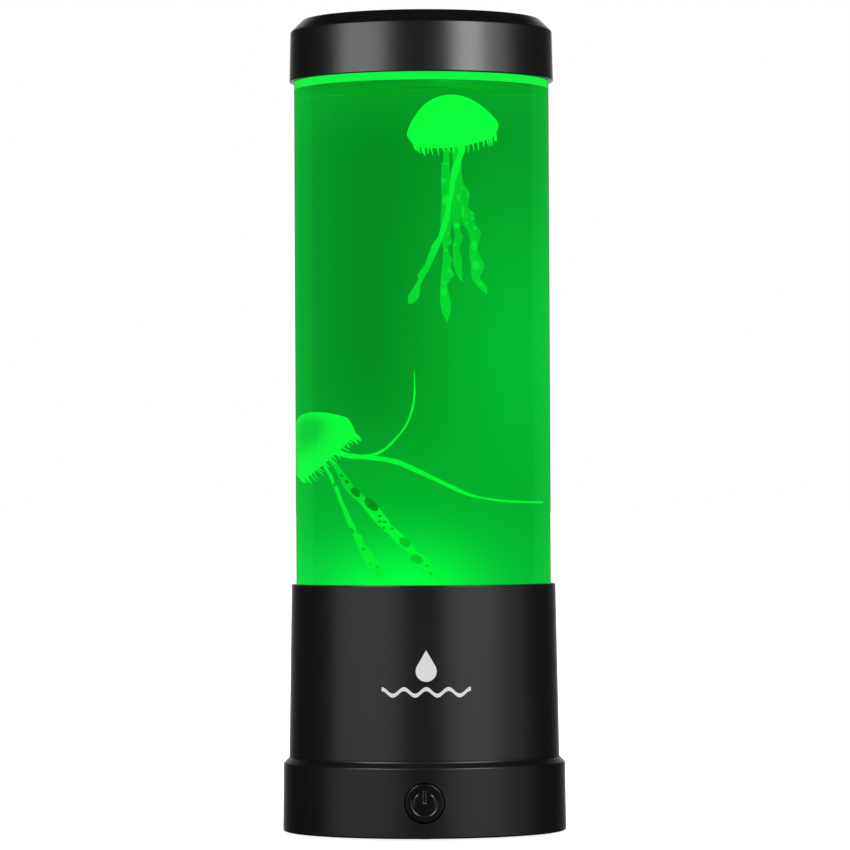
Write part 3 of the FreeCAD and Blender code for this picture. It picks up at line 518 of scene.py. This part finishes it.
filling = turned("water_body", water_outline(), [WATER], closed=False)
piece(filling, "root", "water", "water")


# --- Jellyfish --------------------------------------------------------------------------

BELL_THICK = 0.45
BELL_COUNT, TEETH = 144, 44         # corners round a bell, and fingers in its fringe
TOOTH_LENGTH, TOOTH_HALF = (1.5, 2.8), (0.18, 0.28)


def bell_profile(radius, rim, swell, crown):
    """(radius, height) from the crown's top, out over the swell, and in to the rim."""
    points = []
    steps, shoulder, dome, tuck = 26, 2.2, 0.85, 1.6
    for index in range(steps + 1):
        share = math.sin(math.pi / 2 * index / steps)
        points.append((radius * share, swell + crown * (1 - share ** shoulder) ** dome))
    for share in (0.3, 0.6, 0.85, 1.0):
        points.append((radius + (rim - radius) * share ** tuck, swell * (1 - share)))
    return points


def bell_wobble(turn, height, seed):
    """A slow unevenness of the soft bell."""
    return 1.0 + 0.010 * math.sin(2 * turn + seed) + 0.006 * math.sin(3 * turn + height * 0.3)


def bell_rings(build, profile, shrink, seed):
    """One face of the bell, with a shallow rib above each tooth; shrink moves it inwards."""
    rings = []
    rib_height, crown_reach, crown_drop, side_drop = 0.006, 4, 1, 0.4
    for r, z in profile:
        ring = []
        drop = crown_drop if r < crown_reach else side_drop
        for turn in ring_turns(BELL_COUNT):
            rib = 1.0 + rib_height * math.cos(TEETH * turn) * min(1.0, r / profile[-1][0])
            reach = max(r - shrink, 0.02) * bell_wobble(turn, z, seed) * rib
            ring.append(build.verts.new((reach * math.cos(turn), reach * math.sin(turn),
                                         z - shrink * drop)))
        rings.append(ring)
    bridge(build, rings)
    return rings


def add_tooth(build, base, out, down, across, length, width):
    """One tapered finger of the fringe, with a rounded closed tip."""
    corners, half_depth, bow = 6, 0.26, 0.25
    rings = []
    for share, size in ((-0.25, 1.0), (0.15, 1.0), (0.45, 0.82), (0.75, 0.6), (0.93, 0.34),
                        (1.0, 0.08)):
        centre = base + down * (length * share) + out * (bow * math.sin(share * 2.2))
        rings.append([build.verts.new(centre + across * (width * size * math.cos(turn))
                                      + out * (half_depth * size * math.sin(turn)))
                      for turn in ring_turns(corners)])
    bridge(build, rings)
    close_ends(build, rings)


def to_tank(build, centre, tilt, lean):
    """From the jellyfish's own frame, rim centre at zero, to its place in the tank."""
    move = (Matrix.Translation(centre) @ Matrix.Rotation(math.radians(lean), 4, "X")
            @ Matrix.Rotation(math.radians(tilt), 4, "Y"))
    bmesh.ops.transform(build, matrix=move, verts=build.verts)


def press_against_wall(build):
    """Flattens what would lie within or beyond the tube's wall, as soft silicone would."""
    start, limit, ease = 31.2, 32.25, 0.8
    for vertex in build.verts:
        reach = math.hypot(vertex.co.x, vertex.co.y)
        if reach > start:
            pressed = start + (limit - start) * (1 - math.exp((start - reach) / ease))
            vertex.co.x *= pressed / reach
            vertex.co.y *= pressed / reach


def make_bell(name, centre, tilt, lean, sizes, seed, materials):
    """A soft bell of two faces joined at the rim, with a fringe of uneven teeth."""
    build = bmesh.new()
    profile = bell_profile(**sizes)
    outer = bell_rings(build, profile, 0.0, seed)
    inner = bell_rings(build, profile, BELL_THICK, seed)
    bridge(build, [outer[-1], inner[-1]])
    build.faces.new(outer[0])
    build.faces.new(inner[0])
    draw = random.Random(seed)
    uneven, inward, inset, drop = 0.3, 0.16, 0.2, 0.05
    for index in range(TEETH):
        turn = 2 * math.pi * (index + draw.uniform(-uneven, uneven)) / TEETH
        out = Vector((math.cos(turn), math.sin(turn), 0))
        across = Vector((-out.y, out.x, 0))
        splay = draw.uniform(-uneven, uneven)
        down = (Vector((0, 0, -1)) + across * splay - out * inward).normalized()
        reach = profile[-1][0] - inset
        base = out * reach * bell_wobble(turn, 0, seed) + Vector((0, 0, -drop))
        add_tooth(build, base, out, down, across, draw.uniform(*TOOTH_LENGTH),
                  draw.uniform(*TOOTH_HALF))
    to_tank(build, centre, tilt, lean)
    press_against_wall(build)
    return finish_mesh(name, build, materials, 60.0)


def make_hub(name, centre, tilt, lean):
    """The bead that gathers the tentacles, on its stem under the crown."""
    build = bmesh.new()
    outline = [(0.02, 11.4), (1.0, 11.3), (0.75, 10.4), (0.7, 3.6), (1.0, 2.9), (2.4, 2.5),
               (3.1, 2.1), (3.0, 1.5), (2.2, 1.1), (0.02, 1.0)]
    turns = ring_turns(40)
    rings = [[build.verts.new((r * math.cos(turn), r * math.sin(turn), z)) for turn in turns]
             for r, z in outline]
    bridge(build, rings)
    close_ends(build, rings)
    to_tank(build, centre, tilt, lean)
    return finish_mesh(name, build, [BELL], 60.0)


def outline_mesh(loop):
    """A flat filled mesh from a closed loop of (u, v)."""
    curve = bpy.data.curves.new("outline", "CURVE")
    curve.dimensions = "2D"
    curve.fill_mode = "BOTH"
    spline = curve.splines.new("POLY")
    spline.points.add(len(loop) - 1)
    for point, (u, v) in zip(spline.points, loop):
        point.co = (u, v, 0, 1)
    spline.use_cyclic_u = True
    holder = bpy.data.objects.new("outline", curve)
    bpy.context.scene.collection.objects.link(holder)
    bpy.context.view_layer.update()
    flat = bpy.data.meshes.new_from_object(holder)
    bpy.data.objects.remove(holder)
    bpy.data.curves.remove(curve)
    build = bmesh.new()
    build.from_mesh(flat)
    bpy.data.meshes.remove(flat)
    return build


def ellipse(x, z, half_x, half_z, tilt=0.0, count=16):
    """Points round an ellipse, its long side turned tilt degrees from X."""
    spin = math.radians(tilt)
    points = []
    for turn in ring_turns(count):
        along, across = half_x * math.cos(turn), half_z * math.sin(turn)
        points.append((x + along * math.cos(spin) - across * math.sin(spin),
                       z + along * math.sin(spin) + across * math.cos(spin)))
    return points


class Strip:
    """A tentacle cut from sheet, given by (height, left x, right x) where its edges bend.

    depth is its y at the top, and slope is how far back it goes per mm of height lost.
    """

    half, sway, sway_rate, settle = 0.18, 0.3, 0.33, 10.0
    slice_height = 0.6

    def __init__(self, stations, depth, slope=0.0):
        self.stations = stations
        self.top = stations[0][0]
        self.depth = depth
        self.slope = slope

    def y_at(self, z):
        """How far back the strip's middle is; its sway grows over the first settle mm."""
        down = self.top - z
        wave = self.sway * math.sin(down * self.sway_rate) * min(1.0, down / self.settle)
        return self.depth + self.slope * down + wave

    def outline(self):
        """Down the left edge and back up the right, along smooth curves."""
        count = 5 * len(self.stations)
        left = smooth_path([(x, z) for z, x, _ in self.stations], count)
        right = smooth_path([(x, z) for z, _, x in self.stations], count)
        return [tuple(p) for p in left] + [tuple(p) for p in right[::-1]]

    def make(self, name, materials, spots=()):
        flat = outline_mesh(self.outline())
        z = self.top - self.slice_height
        while z > self.stations[-1][0]:
            geometry = flat.verts[:] + flat.edges[:] + flat.faces[:]
            bmesh.ops.bisect_plane(flat, geom=geometry, plane_co=(0, z, 0), plane_no=(0, 1, 0))
            z -= self.slice_height
        bmesh.ops.remove_doubles(flat, verts=flat.verts, dist=0.002)
        flat.verts.index_update()
        places = [(vertex.co.x, vertex.co.y) for vertex in flat.verts]
        faces = [[vertex.index for vertex in face.verts] for face in flat.faces]
        borders = [[vertex.index for vertex in edge.verts] for edge in flat.edges
                   if len(edge.link_faces) == 1]
        flat.free()
        solid = bmesh.new()
        front = [solid.verts.new((x, self.y_at(z) - self.half, z)) for x, z in places]
        rear = [solid.verts.new((x, self.y_at(z) + self.half, z)) for x, z in places]
        for face in faces:
            solid.faces.new([front[i] for i in face])
            solid.faces.new([rear[i] for i in face[::-1]])
        for one, two in borders:
            solid.faces.new((front[one], front[two], rear[two], rear[one]))
        for spot in spots:
            self.add_spot(solid, spot)
        return finish_mesh(name, solid, materials, 50.0)

    def add_spot(self, solid, spot):
        """A slightly raised round patch on both faces."""
        x, z, half_x, half_z = spot[:4]
        for sign in (-1, 1):
            rings = []
            for size, lift in ((1.0, -0.06), (0.96, 0.05), (0.7, 0.10)):
                edge = ellipse(x, z, half_x * size, half_z * size, *spot[4:])
                rings.append([solid.verts.new((u, self.y_at(v) + sign * (self.half + lift), v))
                              for u, v in edge])
            for face in close_ends(solid, rings) + bridge(solid, rings):
                face.material_index = 1


def thread(name, path, sizes, materials):
    """A soft thread of flattened section; sizes are (height, depth) along it."""
    places = smooth_path(path, 120)
    turns = ring_turns(12)
    ripple, ripple_rate = 0.06, 0.5
    build = bmesh.new()
    rings = []
    last = len(places) - 1
    for index, place in enumerate(places):
        along = (places[min(index + 1, last)] - places[max(index - 1, 0)]).normalized()
        side = along.cross(Vector((0, 1, 0))).normalized()
        face = side.cross(along)
        share = index / last * (len(sizes) - 1)
        start = min(int(share), len(sizes) - 2)
        part = share - start
        tall, deep = [(first * (1 - part) + second * part) / 2
                      for first, second in zip(sizes[start], sizes[start + 1])]
        tall *= 1.0 + ripple * math.sin(index * ripple_rate)
        rings.append([build.verts.new(place + side * (tall * math.cos(turn))
                                      + face * (deep * math.sin(turn))) for turn in turns])
    bridge(build, rings)
    close_ends(build, rings)
    return finish_mesh(name, build, materials, 70.0)


def glint_dot(name, centre, radius, material):
    """A tiny glowing ball: a painted highlight."""
    build = bmesh.new()
    bmesh.ops.create_icosphere(build, subdivisions=3, radius=radius)
    bmesh.ops.translate(build, vec=centre, verts=build.verts)
    return finish_mesh(name, build, [material], 60.0)


upper_bell = make_bell("upper_bell_soft", UPPER_BELL, UPPER_TILT, UPPER_LEAN, UPPER_SIZES, 3,
                       [BELL])
piece(upper_bell, "upper_jellyfish", "silicone_jelly", "upper_bell")
piece(make_hub("upper_hub_soft", UPPER_BELL, UPPER_TILT, UPPER_LEAN), "upper_jellyfish",
      "silicone_jelly", "upper_hub")
# A painted highlight: a small glowing dot in front of the upper bell
piece(glint_dot("upper_bell_glint", (5.5, -17.7, 196.3), 0.32, GLINT_GLOW), "upper_jellyfish",
      "silicone_jelly")

# The strips' stations, the spots' places and the threads' paths were worked out from measured
# places by a separate program, and have more points than the shapes need
upper_front = Strip(
    [(196.8, 8.6, 9.8), (191.7, 8.6, 10.0), (188.9, 7.8, 9.2), (186.1, 6.9, 8.8),
     (182.7, 6.5, 7.8), (179.1, 6.3, 7.3), (175.7, 5.6, 6.7), (172.1, 4.9, 6.2),
     (169.3, 4.2, 5.5), (167.4, 3.7, 4.9), (165.4, 2.5, 4.3), (163.7, 1.9, 3.7),
     (161.8, 1.3, 3.0), (159.5, 0.6, 2.1), (157.9, -0.4, 1.5), (156.5, -1.1, 0.7),
     (155.6, -0.9, 0.4), (153.7, -1.7, -0.4), (151.2, -3.1, -0.6), (149.8, -3.3, -1.1),
     (148.6, -3.1, -2.4)], -10.2)
upper_left = Strip(
    [(196.8, 5.6, 6.6), (192.6, 5.1, 6.3), (189.0, 4.9, 6.3), (187.9, 4.6, 6.4),
     (184.8, 4.4, 6.4), (180.6, 4.4, 6.5), (177.8, 4.5, 6.6), (173.6, 4.3, 6.8),
     (169.9, 4.2, 6.6), (168.0, 4.4, 6.4), (166.0, 4.5, 6.8), (164.9, 4.7, 6.2),
     (163.8, 4.8, 5.9), (161.0, 4.7, 6.8), (159.3, 4.6, 6.6), (158.2, 4.5, 6.7),
     (156.8, 4.3, 7.2), (155.4, 4.2, 6.4), (154.0, 4.2, 5.7), (152.6, 4.1, 5.8),
     (148.4, 4.1, 6.5), (145.8, 4.6, 6.3), (143.6, 5.6, 5.8)], -8.6)
upper_middle = Strip(
    [(196.8, 7.2, 8.2), (192.7, 6.9, 8.2), (187.7, 7.0, 8.5), (182.1, 6.9, 8.5),
     (176.4, 6.8, 8.8), (171.7, 6.9, 8.8), (169.4, 7.2, 8.5), (167.5, 7.4, 9.3),
     (165.5, 7.0, 8.7), (164.1, 7.0, 8.4), (161.0, 7.0, 9.0), (159.1, 7.2, 8.9),
     (156.8, 7.8, 8.9), (155.0, 8.8, 9.1)], -7.2)
upper_right = Strip(
    [(196.8, 7.8, 8.8), (192.8, 7.8, 9.0), (187.7, 7.7, 8.9), (184.6, 7.7, 9.0),
     (182.1, 7.7, 9.5), (180.2, 8.3, 10.5), (178.7, 8.4, 10.7), (176.5, 8.6, 10.3),
     (175.4, 8.7, 10.6), (174.0, 8.7, 11.7), (171.2, 9.1, 11.8), (169.5, 10.0, 13.0),
     (168.1, 10.5, 13.2), (166.4, 10.7, 12.8), (163.9, 10.6, 12.5), (161.6, 10.6, 13.2),
     (159.2, 11.0, 14.0), (157.7, 11.0, 13.4), (156.0, 11.1, 12.9), (154.6, 11.7, 13.8),
     (153.5, 12.5, 14.5), (151.5, 14.3, 14.6)], -5.8)

# Spots are (x, height, half width, half height), and then a tilt in degrees where they lean
upper_strips = [
    upper_front.make("upper_tentacle_front", [PLAIN_RIBBON]),
    upper_left.make("upper_tentacle_left", [THIN_RIBBON, RIBBON_SPOT],
                    spots=[(5.4, 187.9, 0.85, 0.2), (5.0, 183.1, 0.5, 0.75),
                           (5.7, 177.6, 1.05, 1.5), (6.1, 168.5, 0.35, 0.3),
                           (6.3, 165.8, 0.3, 0.3), (5.4, 163.6, 0.45, 0.35),
                           (6.1, 157.9, 0.55, 0.6), (5.0, 154.4, 0.65, 0.3),
                           (4.9, 151.9, 0.7, 1.2), (5.9, 146.7, 0.4, 0.4)]),
    upper_middle.make("upper_tentacle_middle", [THIN_RIBBON, RIBBON_SPOT],
                      spots=[(8.3, 178.4, 0.35, 0.9), (7.8, 170.6, 0.6, 0.85),
                             (7.4, 165.2, 0.4, 0.4)]),
    upper_right.make("upper_tentacle_right", [THIN_RIBBON, RIBBON_SPOT],
                     spots=[(8.9, 181.3, 0.3, 0.3), (10.3, 179.3, 0.16, 1.0),
                            (9.2, 174.5, 0.3, 1.6), (11.1, 174.2, 0.35, 0.25),
                            (10.1, 173.3, 0.3, 0.25), (11.2, 172.7, 0.38, 0.38),
                            (10.0, 171.3, 0.38, 0.38), (11.8, 169.9, 0.5, 0.5),
                            (11.7, 165.0, 0.7, 1.6), (11.6, 162.3, 0.4, 0.2),
                            (12.1, 159.5, 0.9, 1.5), (13.1, 154.3, 0.45, 0.4, -40)]),
]
for strip in upper_strips:
    piece(strip, "upper_jellyfish", "silicone_jelly")
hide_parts("upper_tentacles")

lower_bell = make_bell("lower_bell_soft", LOWER_BELL, LOWER_TILT, 0.0, LOWER_SIZES, 8,
                       [SHADED_BELL])
piece(lower_bell, "lower_jellyfish", "silicone_jelly", "lower_bell")
piece(make_hub("lower_hub_soft", LOWER_BELL, LOWER_TILT, 0.0), "lower_jellyfish", "silicone_jelly",
      "lower_hub")

lower_wide = Strip(
    [(108.6, -23.0, -21.4), (105.5, -20.6, -19.4), (103.8, -19.5, -18.1), (102.4, -18.6, -17.3),
     (99.6, -17.5, -15.6), (97.3, -16.6, -14.4), (95.6, -15.6, -12.9), (94.5, -14.6, -12.1),
     (93.4, -13.5, -10.9), (91.7, -12.4, -9.2), (90.0, -11.4, -8.3), (88.3, -10.3, -7.2),
     (86.6, -9.1, -6.5), (85.2, -8.0, -5.2), (84.0, -7.0, -4.3), (82.3, -5.8, -3.0),
     (80.6, -4.6, -2.2), (78.9, -3.2, -1.0), (77.2, -2.2, 1.0), (75.2, -0.8, 1.5),
     (72.7, 1.0, 2.6), (70.1, 2.6, 4.4)], 0.4, 0.17)
lower_narrow = Strip(
    [(108.0, -23.8, -22.6), (104.4, -22.4, -21.4), (102.4, -21.4, -20.6), (101.0, -20.7, -19.8),
     (99.6, -20.1, -19.4), (98.2, -19.6, -18.8), (96.8, -19.1, -18.2), (94.0, -18.3, -17.4),
     (91.1, -17.3, -16.3), (88.3, -16.4, -15.2), (86.3, -15.7, -14.4), (84.6, -15.1, -13.9),
     (83.7, -14.7, -12.9), (82.1, -14.2, -12.7), (80.4, -13.6, -11.7), (78.2, -12.9, -10.4),
     (75.6, -11.9, -9.1), (73.8, -11.0, -8.5), (72.2, -9.9, -8.4)], -1.0, 0.11)

# The lower strips' spots are dark; their half width is along the tilt
lower_strips = [
    lower_wide.make("lower_tentacle_wide", [HALF_RIBBON, RIBBON_PIT],
                    spots=[(-17.3, 100.7, 0.5, 0.32, -60), (-16.1, 99.0, 0.6, 0.4, -60),
                           (-14.2, 96.0, 1.6, 0.85, -58), (-10.8, 92.5, 2.2, 1.1, -55),
                           (-9.0, 89.3, 0.42, 0.4), (-9.0, 87.7, 0.42, 0.4),
                           (-7.9, 87.6, 0.42, 0.4), (-8.1, 86.0, 0.42, 0.4),
                           (-6.4, 85.6, 0.42, 0.4), (-3.8, 81.8, 1.6, 1.0, -58),
                           (-1.4, 77.1, 1.5, 1.15, -50), (0.7, 75.2, 0.45, 0.4),
                           (1.5, 73.0, 0.4, 0.35)]),
    lower_narrow.make("lower_tentacle_narrow", [LOW_RIBBON, RIBBON_PIT],
                      spots=[(-19.2, 98.2, 0.25, 0.6, 10), (-15.0, 85.2, 1.0, 0.35, -70),
                             (-12.6, 80.0, 0.5, 0.5), (-11.2, 75.8, 0.3, 0.3),
                             (-9.7, 74.9, 0.45, 0.35)]),
    thread("lower_tentacle_curl",
           [(-21.8, 0.2, 109.0), (-19.4, 0.6, 108.1), (-16.5, 2.4, 106.6), (-14.1, 4.0, 106.1),
            (-11.9, 5.4, 106.1), (-9.7, 6.4, 106.7), (-7.7, 7.0, 108.1), (-5.7, 7.4, 110.7),
            (-3.6, 7.7, 114.3), (-2.3, 8.0, 118.4), (-1.7, 8.2, 122.6), (-1.6, 8.3, 126.0),
            (-1.7, 8.3, 130.3)],
           [(1.3, 0.8), (1.3, 0.8), (1.35, 0.7), (0.9, 0.6), (0.62, 0.5), (0.45, 0.4),
            (0.45, 0.4), (0.4, 0.3), (0.1, 0.1)], [THREAD]),
    thread("lower_tentacle_trail",
           [(-21.6, -0.8, 108.4), (-16.7, 1.0, 106.4), (-10.6, 5.6, 105.7), (-6.7, 7.8, 105.0),
            (-3.6, 8.9, 103.6), (2.2, 10.0, 99.7), (8.0, 10.3, 95.7), (11.0, 10.2, 94.4),
            (14.8, 10.1, 93.5), (18.7, 10.0, 93.1), (23.3, 10.0, 92.9)],
           [(1.1, 0.7), (1.1, 0.7), (1.2, 0.8), (1.35, 0.8), (1.3, 0.8), (1.05, 0.6), (0.95, 0.5),
            (0.5, 0.4), (0.6, 0.4), (0.62, 0.5), (0.55, 0.4)], [THREAD]),
]
for strip in lower_strips:
    piece(strip, "lower_jellyfish", "silicone_jelly")
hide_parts("lower_tentacles")


# --- Power button -----------------------------------------------------------------------

def engraving_depth(x, z):
    """How deep the power symbol, a ring with a gap and a bar, is cut at a place on the face."""
    ring_radius, ring_half, bar_half, bar_low, bar_high = 3.31, 0.44, 0.48, 0.3, 3.5
    gap, margin, blend, depth = math.radians(36.0), 0.10, 0.42, 0.19
    ring = abs(math.hypot(x, z) - ring_radius) - ring_half
    ends = z * math.sin(gap) - abs(x) * math.cos(gap)
    bar = math.hypot(x, z - min(max(z, bar_low), bar_high)) - bar_half
    inside = min(max((margin - min(max(ring, ends), bar)) / blend, 0.0), 1.0)
    return depth * inside * inside * (3 - 2 * inside)


def make_button():
    """The engraved face on its rim, flange and stem, about an axis along Y."""
    low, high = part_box("power_button")
    height = (low.z + high.z) / 2 / MM
    front, rear = -low.y / MM, -high.y / MM
    radius, rounding, rim, flange, stem, centre = 5.4, 0.4, 0.9, 6.6, 2.2, 0.05
    flange_front, flange_rear = rear + 2.0, rear + 1.0
    step, turns = 0.06, ring_turns(384)
    build = bmesh.new()
    rings = []
    levels = [(step * (index + 0.5), None) for index in range(int(radius / step) - 1)]
    levels += [(radius, front - rim), (radius, flange_front), (flange, flange_front),
               (flange, flange_rear), (stem, flange_rear), (stem, rear), (centre, rear)]
    for reach, depth in levels:
        ring = []
        for turn in turns:
            x, z = reach * math.cos(turn), reach * math.sin(turn)
            y = depth
            if depth is None:
                edge = max(reach - (radius - rounding), 0.0)
                lost = rounding - math.sqrt(max(rounding ** 2 - edge ** 2, 0.0))
                y = math.sqrt(front ** 2 - x ** 2) - lost - engraving_depth(x, z)
            ring.append(build.verts.new((x, -y, z + height)))
        rings.append(ring)
    bridge(build, rings)
    close_ends(build, rings)
    return finish_mesh("engraved_button", build, [LOOKS["button_plastic"]])


button = make_button()
piece(button, "button", "button_plastic", "power_button")


# --- Stage: floor, lights and camera ----------------------------------------------------

def make_floor():
    """A pale floor just under the feet, which the glossy parts don't mirror."""
    size, drop = 40.0, 0.00002
    build = bmesh.new()
    bmesh.ops.create_grid(build, x_segments=1, y_segments=1, size=size)
    mesh = bpy.data.meshes.new("floor")
    build.to_mesh(mesh)
    build.free()
    shader = Shader("floor_look")
    tone = shader.noise(0.3)
    shader.put(Base_Color=shader.between(tone, (0.80, 0.80, 0.80, 1), (0.82, 0.82, 0.82, 1)),
               Roughness=0.9, Emission_Color=(1.0, 1.0, 1.0, 1.0), Emission_Strength=0.9)
    mesh.materials.append(shader.material)
    floor = bpy.data.objects.new("floor", mesh)
    floor.location.z = -drop
    floor.visible_glossy = False
    floor.visible_transmission = False
    bpy.context.scene.collection.objects.link(floor)


def make_world():
    """White behind the lamp, a dark studio in reflections, even fill light on matt surfaces."""
    world = bpy.data.worlds.new("studio")
    bpy.context.scene.world = world
    world.use_nodes = True
    tree = world.node_tree
    tree.nodes.clear()
    path = tree.nodes.new("ShaderNodeLightPath")
    output = tree.nodes.new("ShaderNodeOutputWorld")

    def background(level):
        node = tree.nodes.new("ShaderNodeBackground")
        node.inputs["Color"].default_value = (1, 1, 1, 1)
        node.inputs["Strength"].default_value = level
        return node.outputs[0]

    current = background(1.15)
    for ray, level in (("Is Glossy Ray", 0.02), ("Is Transmission Ray", 0.2),
                       ("Is Camera Ray", 1.0)):
        mix = tree.nodes.new("ShaderNodeMixShader")
        for source, socket in zip((path.outputs[ray], current, background(level)), mix.inputs):
            tree.links.new(source, socket)
        current = mix.outputs[0]
    tree.links.new(current, output.inputs["Surface"])


def receivers(name, things):
    """The surfaces that a light reaches."""
    group = bpy.data.collections.new(name)
    for thing in things:
        group.objects.link(thing)
    return group


def area_light(name, turn, distance, height, size, radiance, group, colour=(1, 1, 1)):
    """A soft box at turn degrees from the camera's side, seen only by the group's surfaces."""
    wide, tall = size
    light = bpy.data.lights.new(name, "AREA")
    light.shape = "RECTANGLE"
    light.size, light.size_y = wide, tall
    light.energy = radiance * math.pi * wide * tall
    light.color = colour
    lamp = bpy.data.objects.new(name, light)
    side = math.radians(turn)
    lamp.location = (distance * math.sin(side), -distance * math.cos(side), height)
    aim = Vector((0, 0, height)) - lamp.location
    lamp.rotation_euler = aim.to_track_quat("-Z", "Y").to_euler()
    lamp.visible_camera = False
    lamp.light_linking.receiver_collection = group
    bpy.context.scene.collection.objects.link(lamp)


def make_lights():
    """Soft boxes to the left, right and rear, each for one group of parts."""
    cap = receivers("cap_parts", [nodes["top_cap"]])
    shells = [nodes["base_housing"], nodes["base_foot"], button]
    small_parts = ("front_mark", "rubber_feet", "base_screws", "usb_shell", "usb_tongue")
    base = receivers("base_parts", shells + [nodes[name] for name in small_parts])
    rims = receivers("rim_parts", shells)
    face = receivers("button_part", [button])
    tank = receivers("tank_parts", [tube])
    cap_height, base_height, above = 0.24, 0.10, 0.80
    soft_box, shell_distance = (0.6, 0.7), 0.9
    for name, turn, height, size, level, group in (
            ("cap_left", -52, cap_height, (0.75, 0.5), 5.0, cap),
            ("cap_right", 41, cap_height, (0.42, 0.5), 11.0, cap),
            ("cap_side", 68, cap_height, (0.4, 0.5), 2.4, cap),
            ("cap_rear", 180, cap_height, (0.62, 0.8), 1.1, cap),
            ("cap_wide_rear", 180, cap_height, (1.2, 0.8), 0.15, cap),
            ("base_left", -50, base_height, (1.12, 0.6), 0.78, base),
            ("base_right", 42, base_height, (0.8, 0.6), 1.08, base),
            ("base_side", 80, base_height, (0.5, 0.6), 0.38, base),
            ("base_rear", 180, base_height, (0.62, 0.8), 1.15, base),
            ("base_wide_rear", 180, base_height, (1.2, 0.8), 0.15, base),
            ("button_left", -45, above, soft_box, 9.5, face),
            ("button_right", 45, above, soft_box, 9.5, face),
            ("upper_left", -45, above, soft_box, 9.0, rims),
            ("upper_right", 45, above, soft_box, 9.0, rims)):
        area_light(name, turn, shell_distance, height, size, level, group)
    for name, turn, level in (("tank_left", -140, 0.62), ("tank_right", 140, 0.55)):
        area_light(name, turn, 0.8, 0.14, (0.7, 0.8), level, tank, STAGE_GREEN)


def make_camera():
    """The view from the front: distance, height, a slight rise and a slight roll."""
    rise, roll = 0.0157, 0.0048
    side, distance, height = 0.0006, 1.3917, 0.0931
    camera = bpy.data.cameras.new("camera")
    camera.lens = 208.33
    camera.sensor_width = 36.0
    camera.clip_start, camera.clip_end = 0.1, 100.0
    eye = bpy.data.objects.new("camera", camera)
    turn = Matrix.Rotation(math.pi / 2 + rise, 4, "X") @ Matrix.Rotation(-roll, 4, "Z")
    eye.matrix_world = Matrix.Translation((side, -distance, height)) @ turn
    bpy.context.scene.collection.objects.link(eye)
    bpy.context.scene.camera = eye


scene = bpy.context.scene
scene.view_settings.view_transform = "Standard"
scene.cycles.caustics_reflective = False
scene.cycles.caustics_refractive = False
make_floor()
make_world()
make_lights()
make_camera()
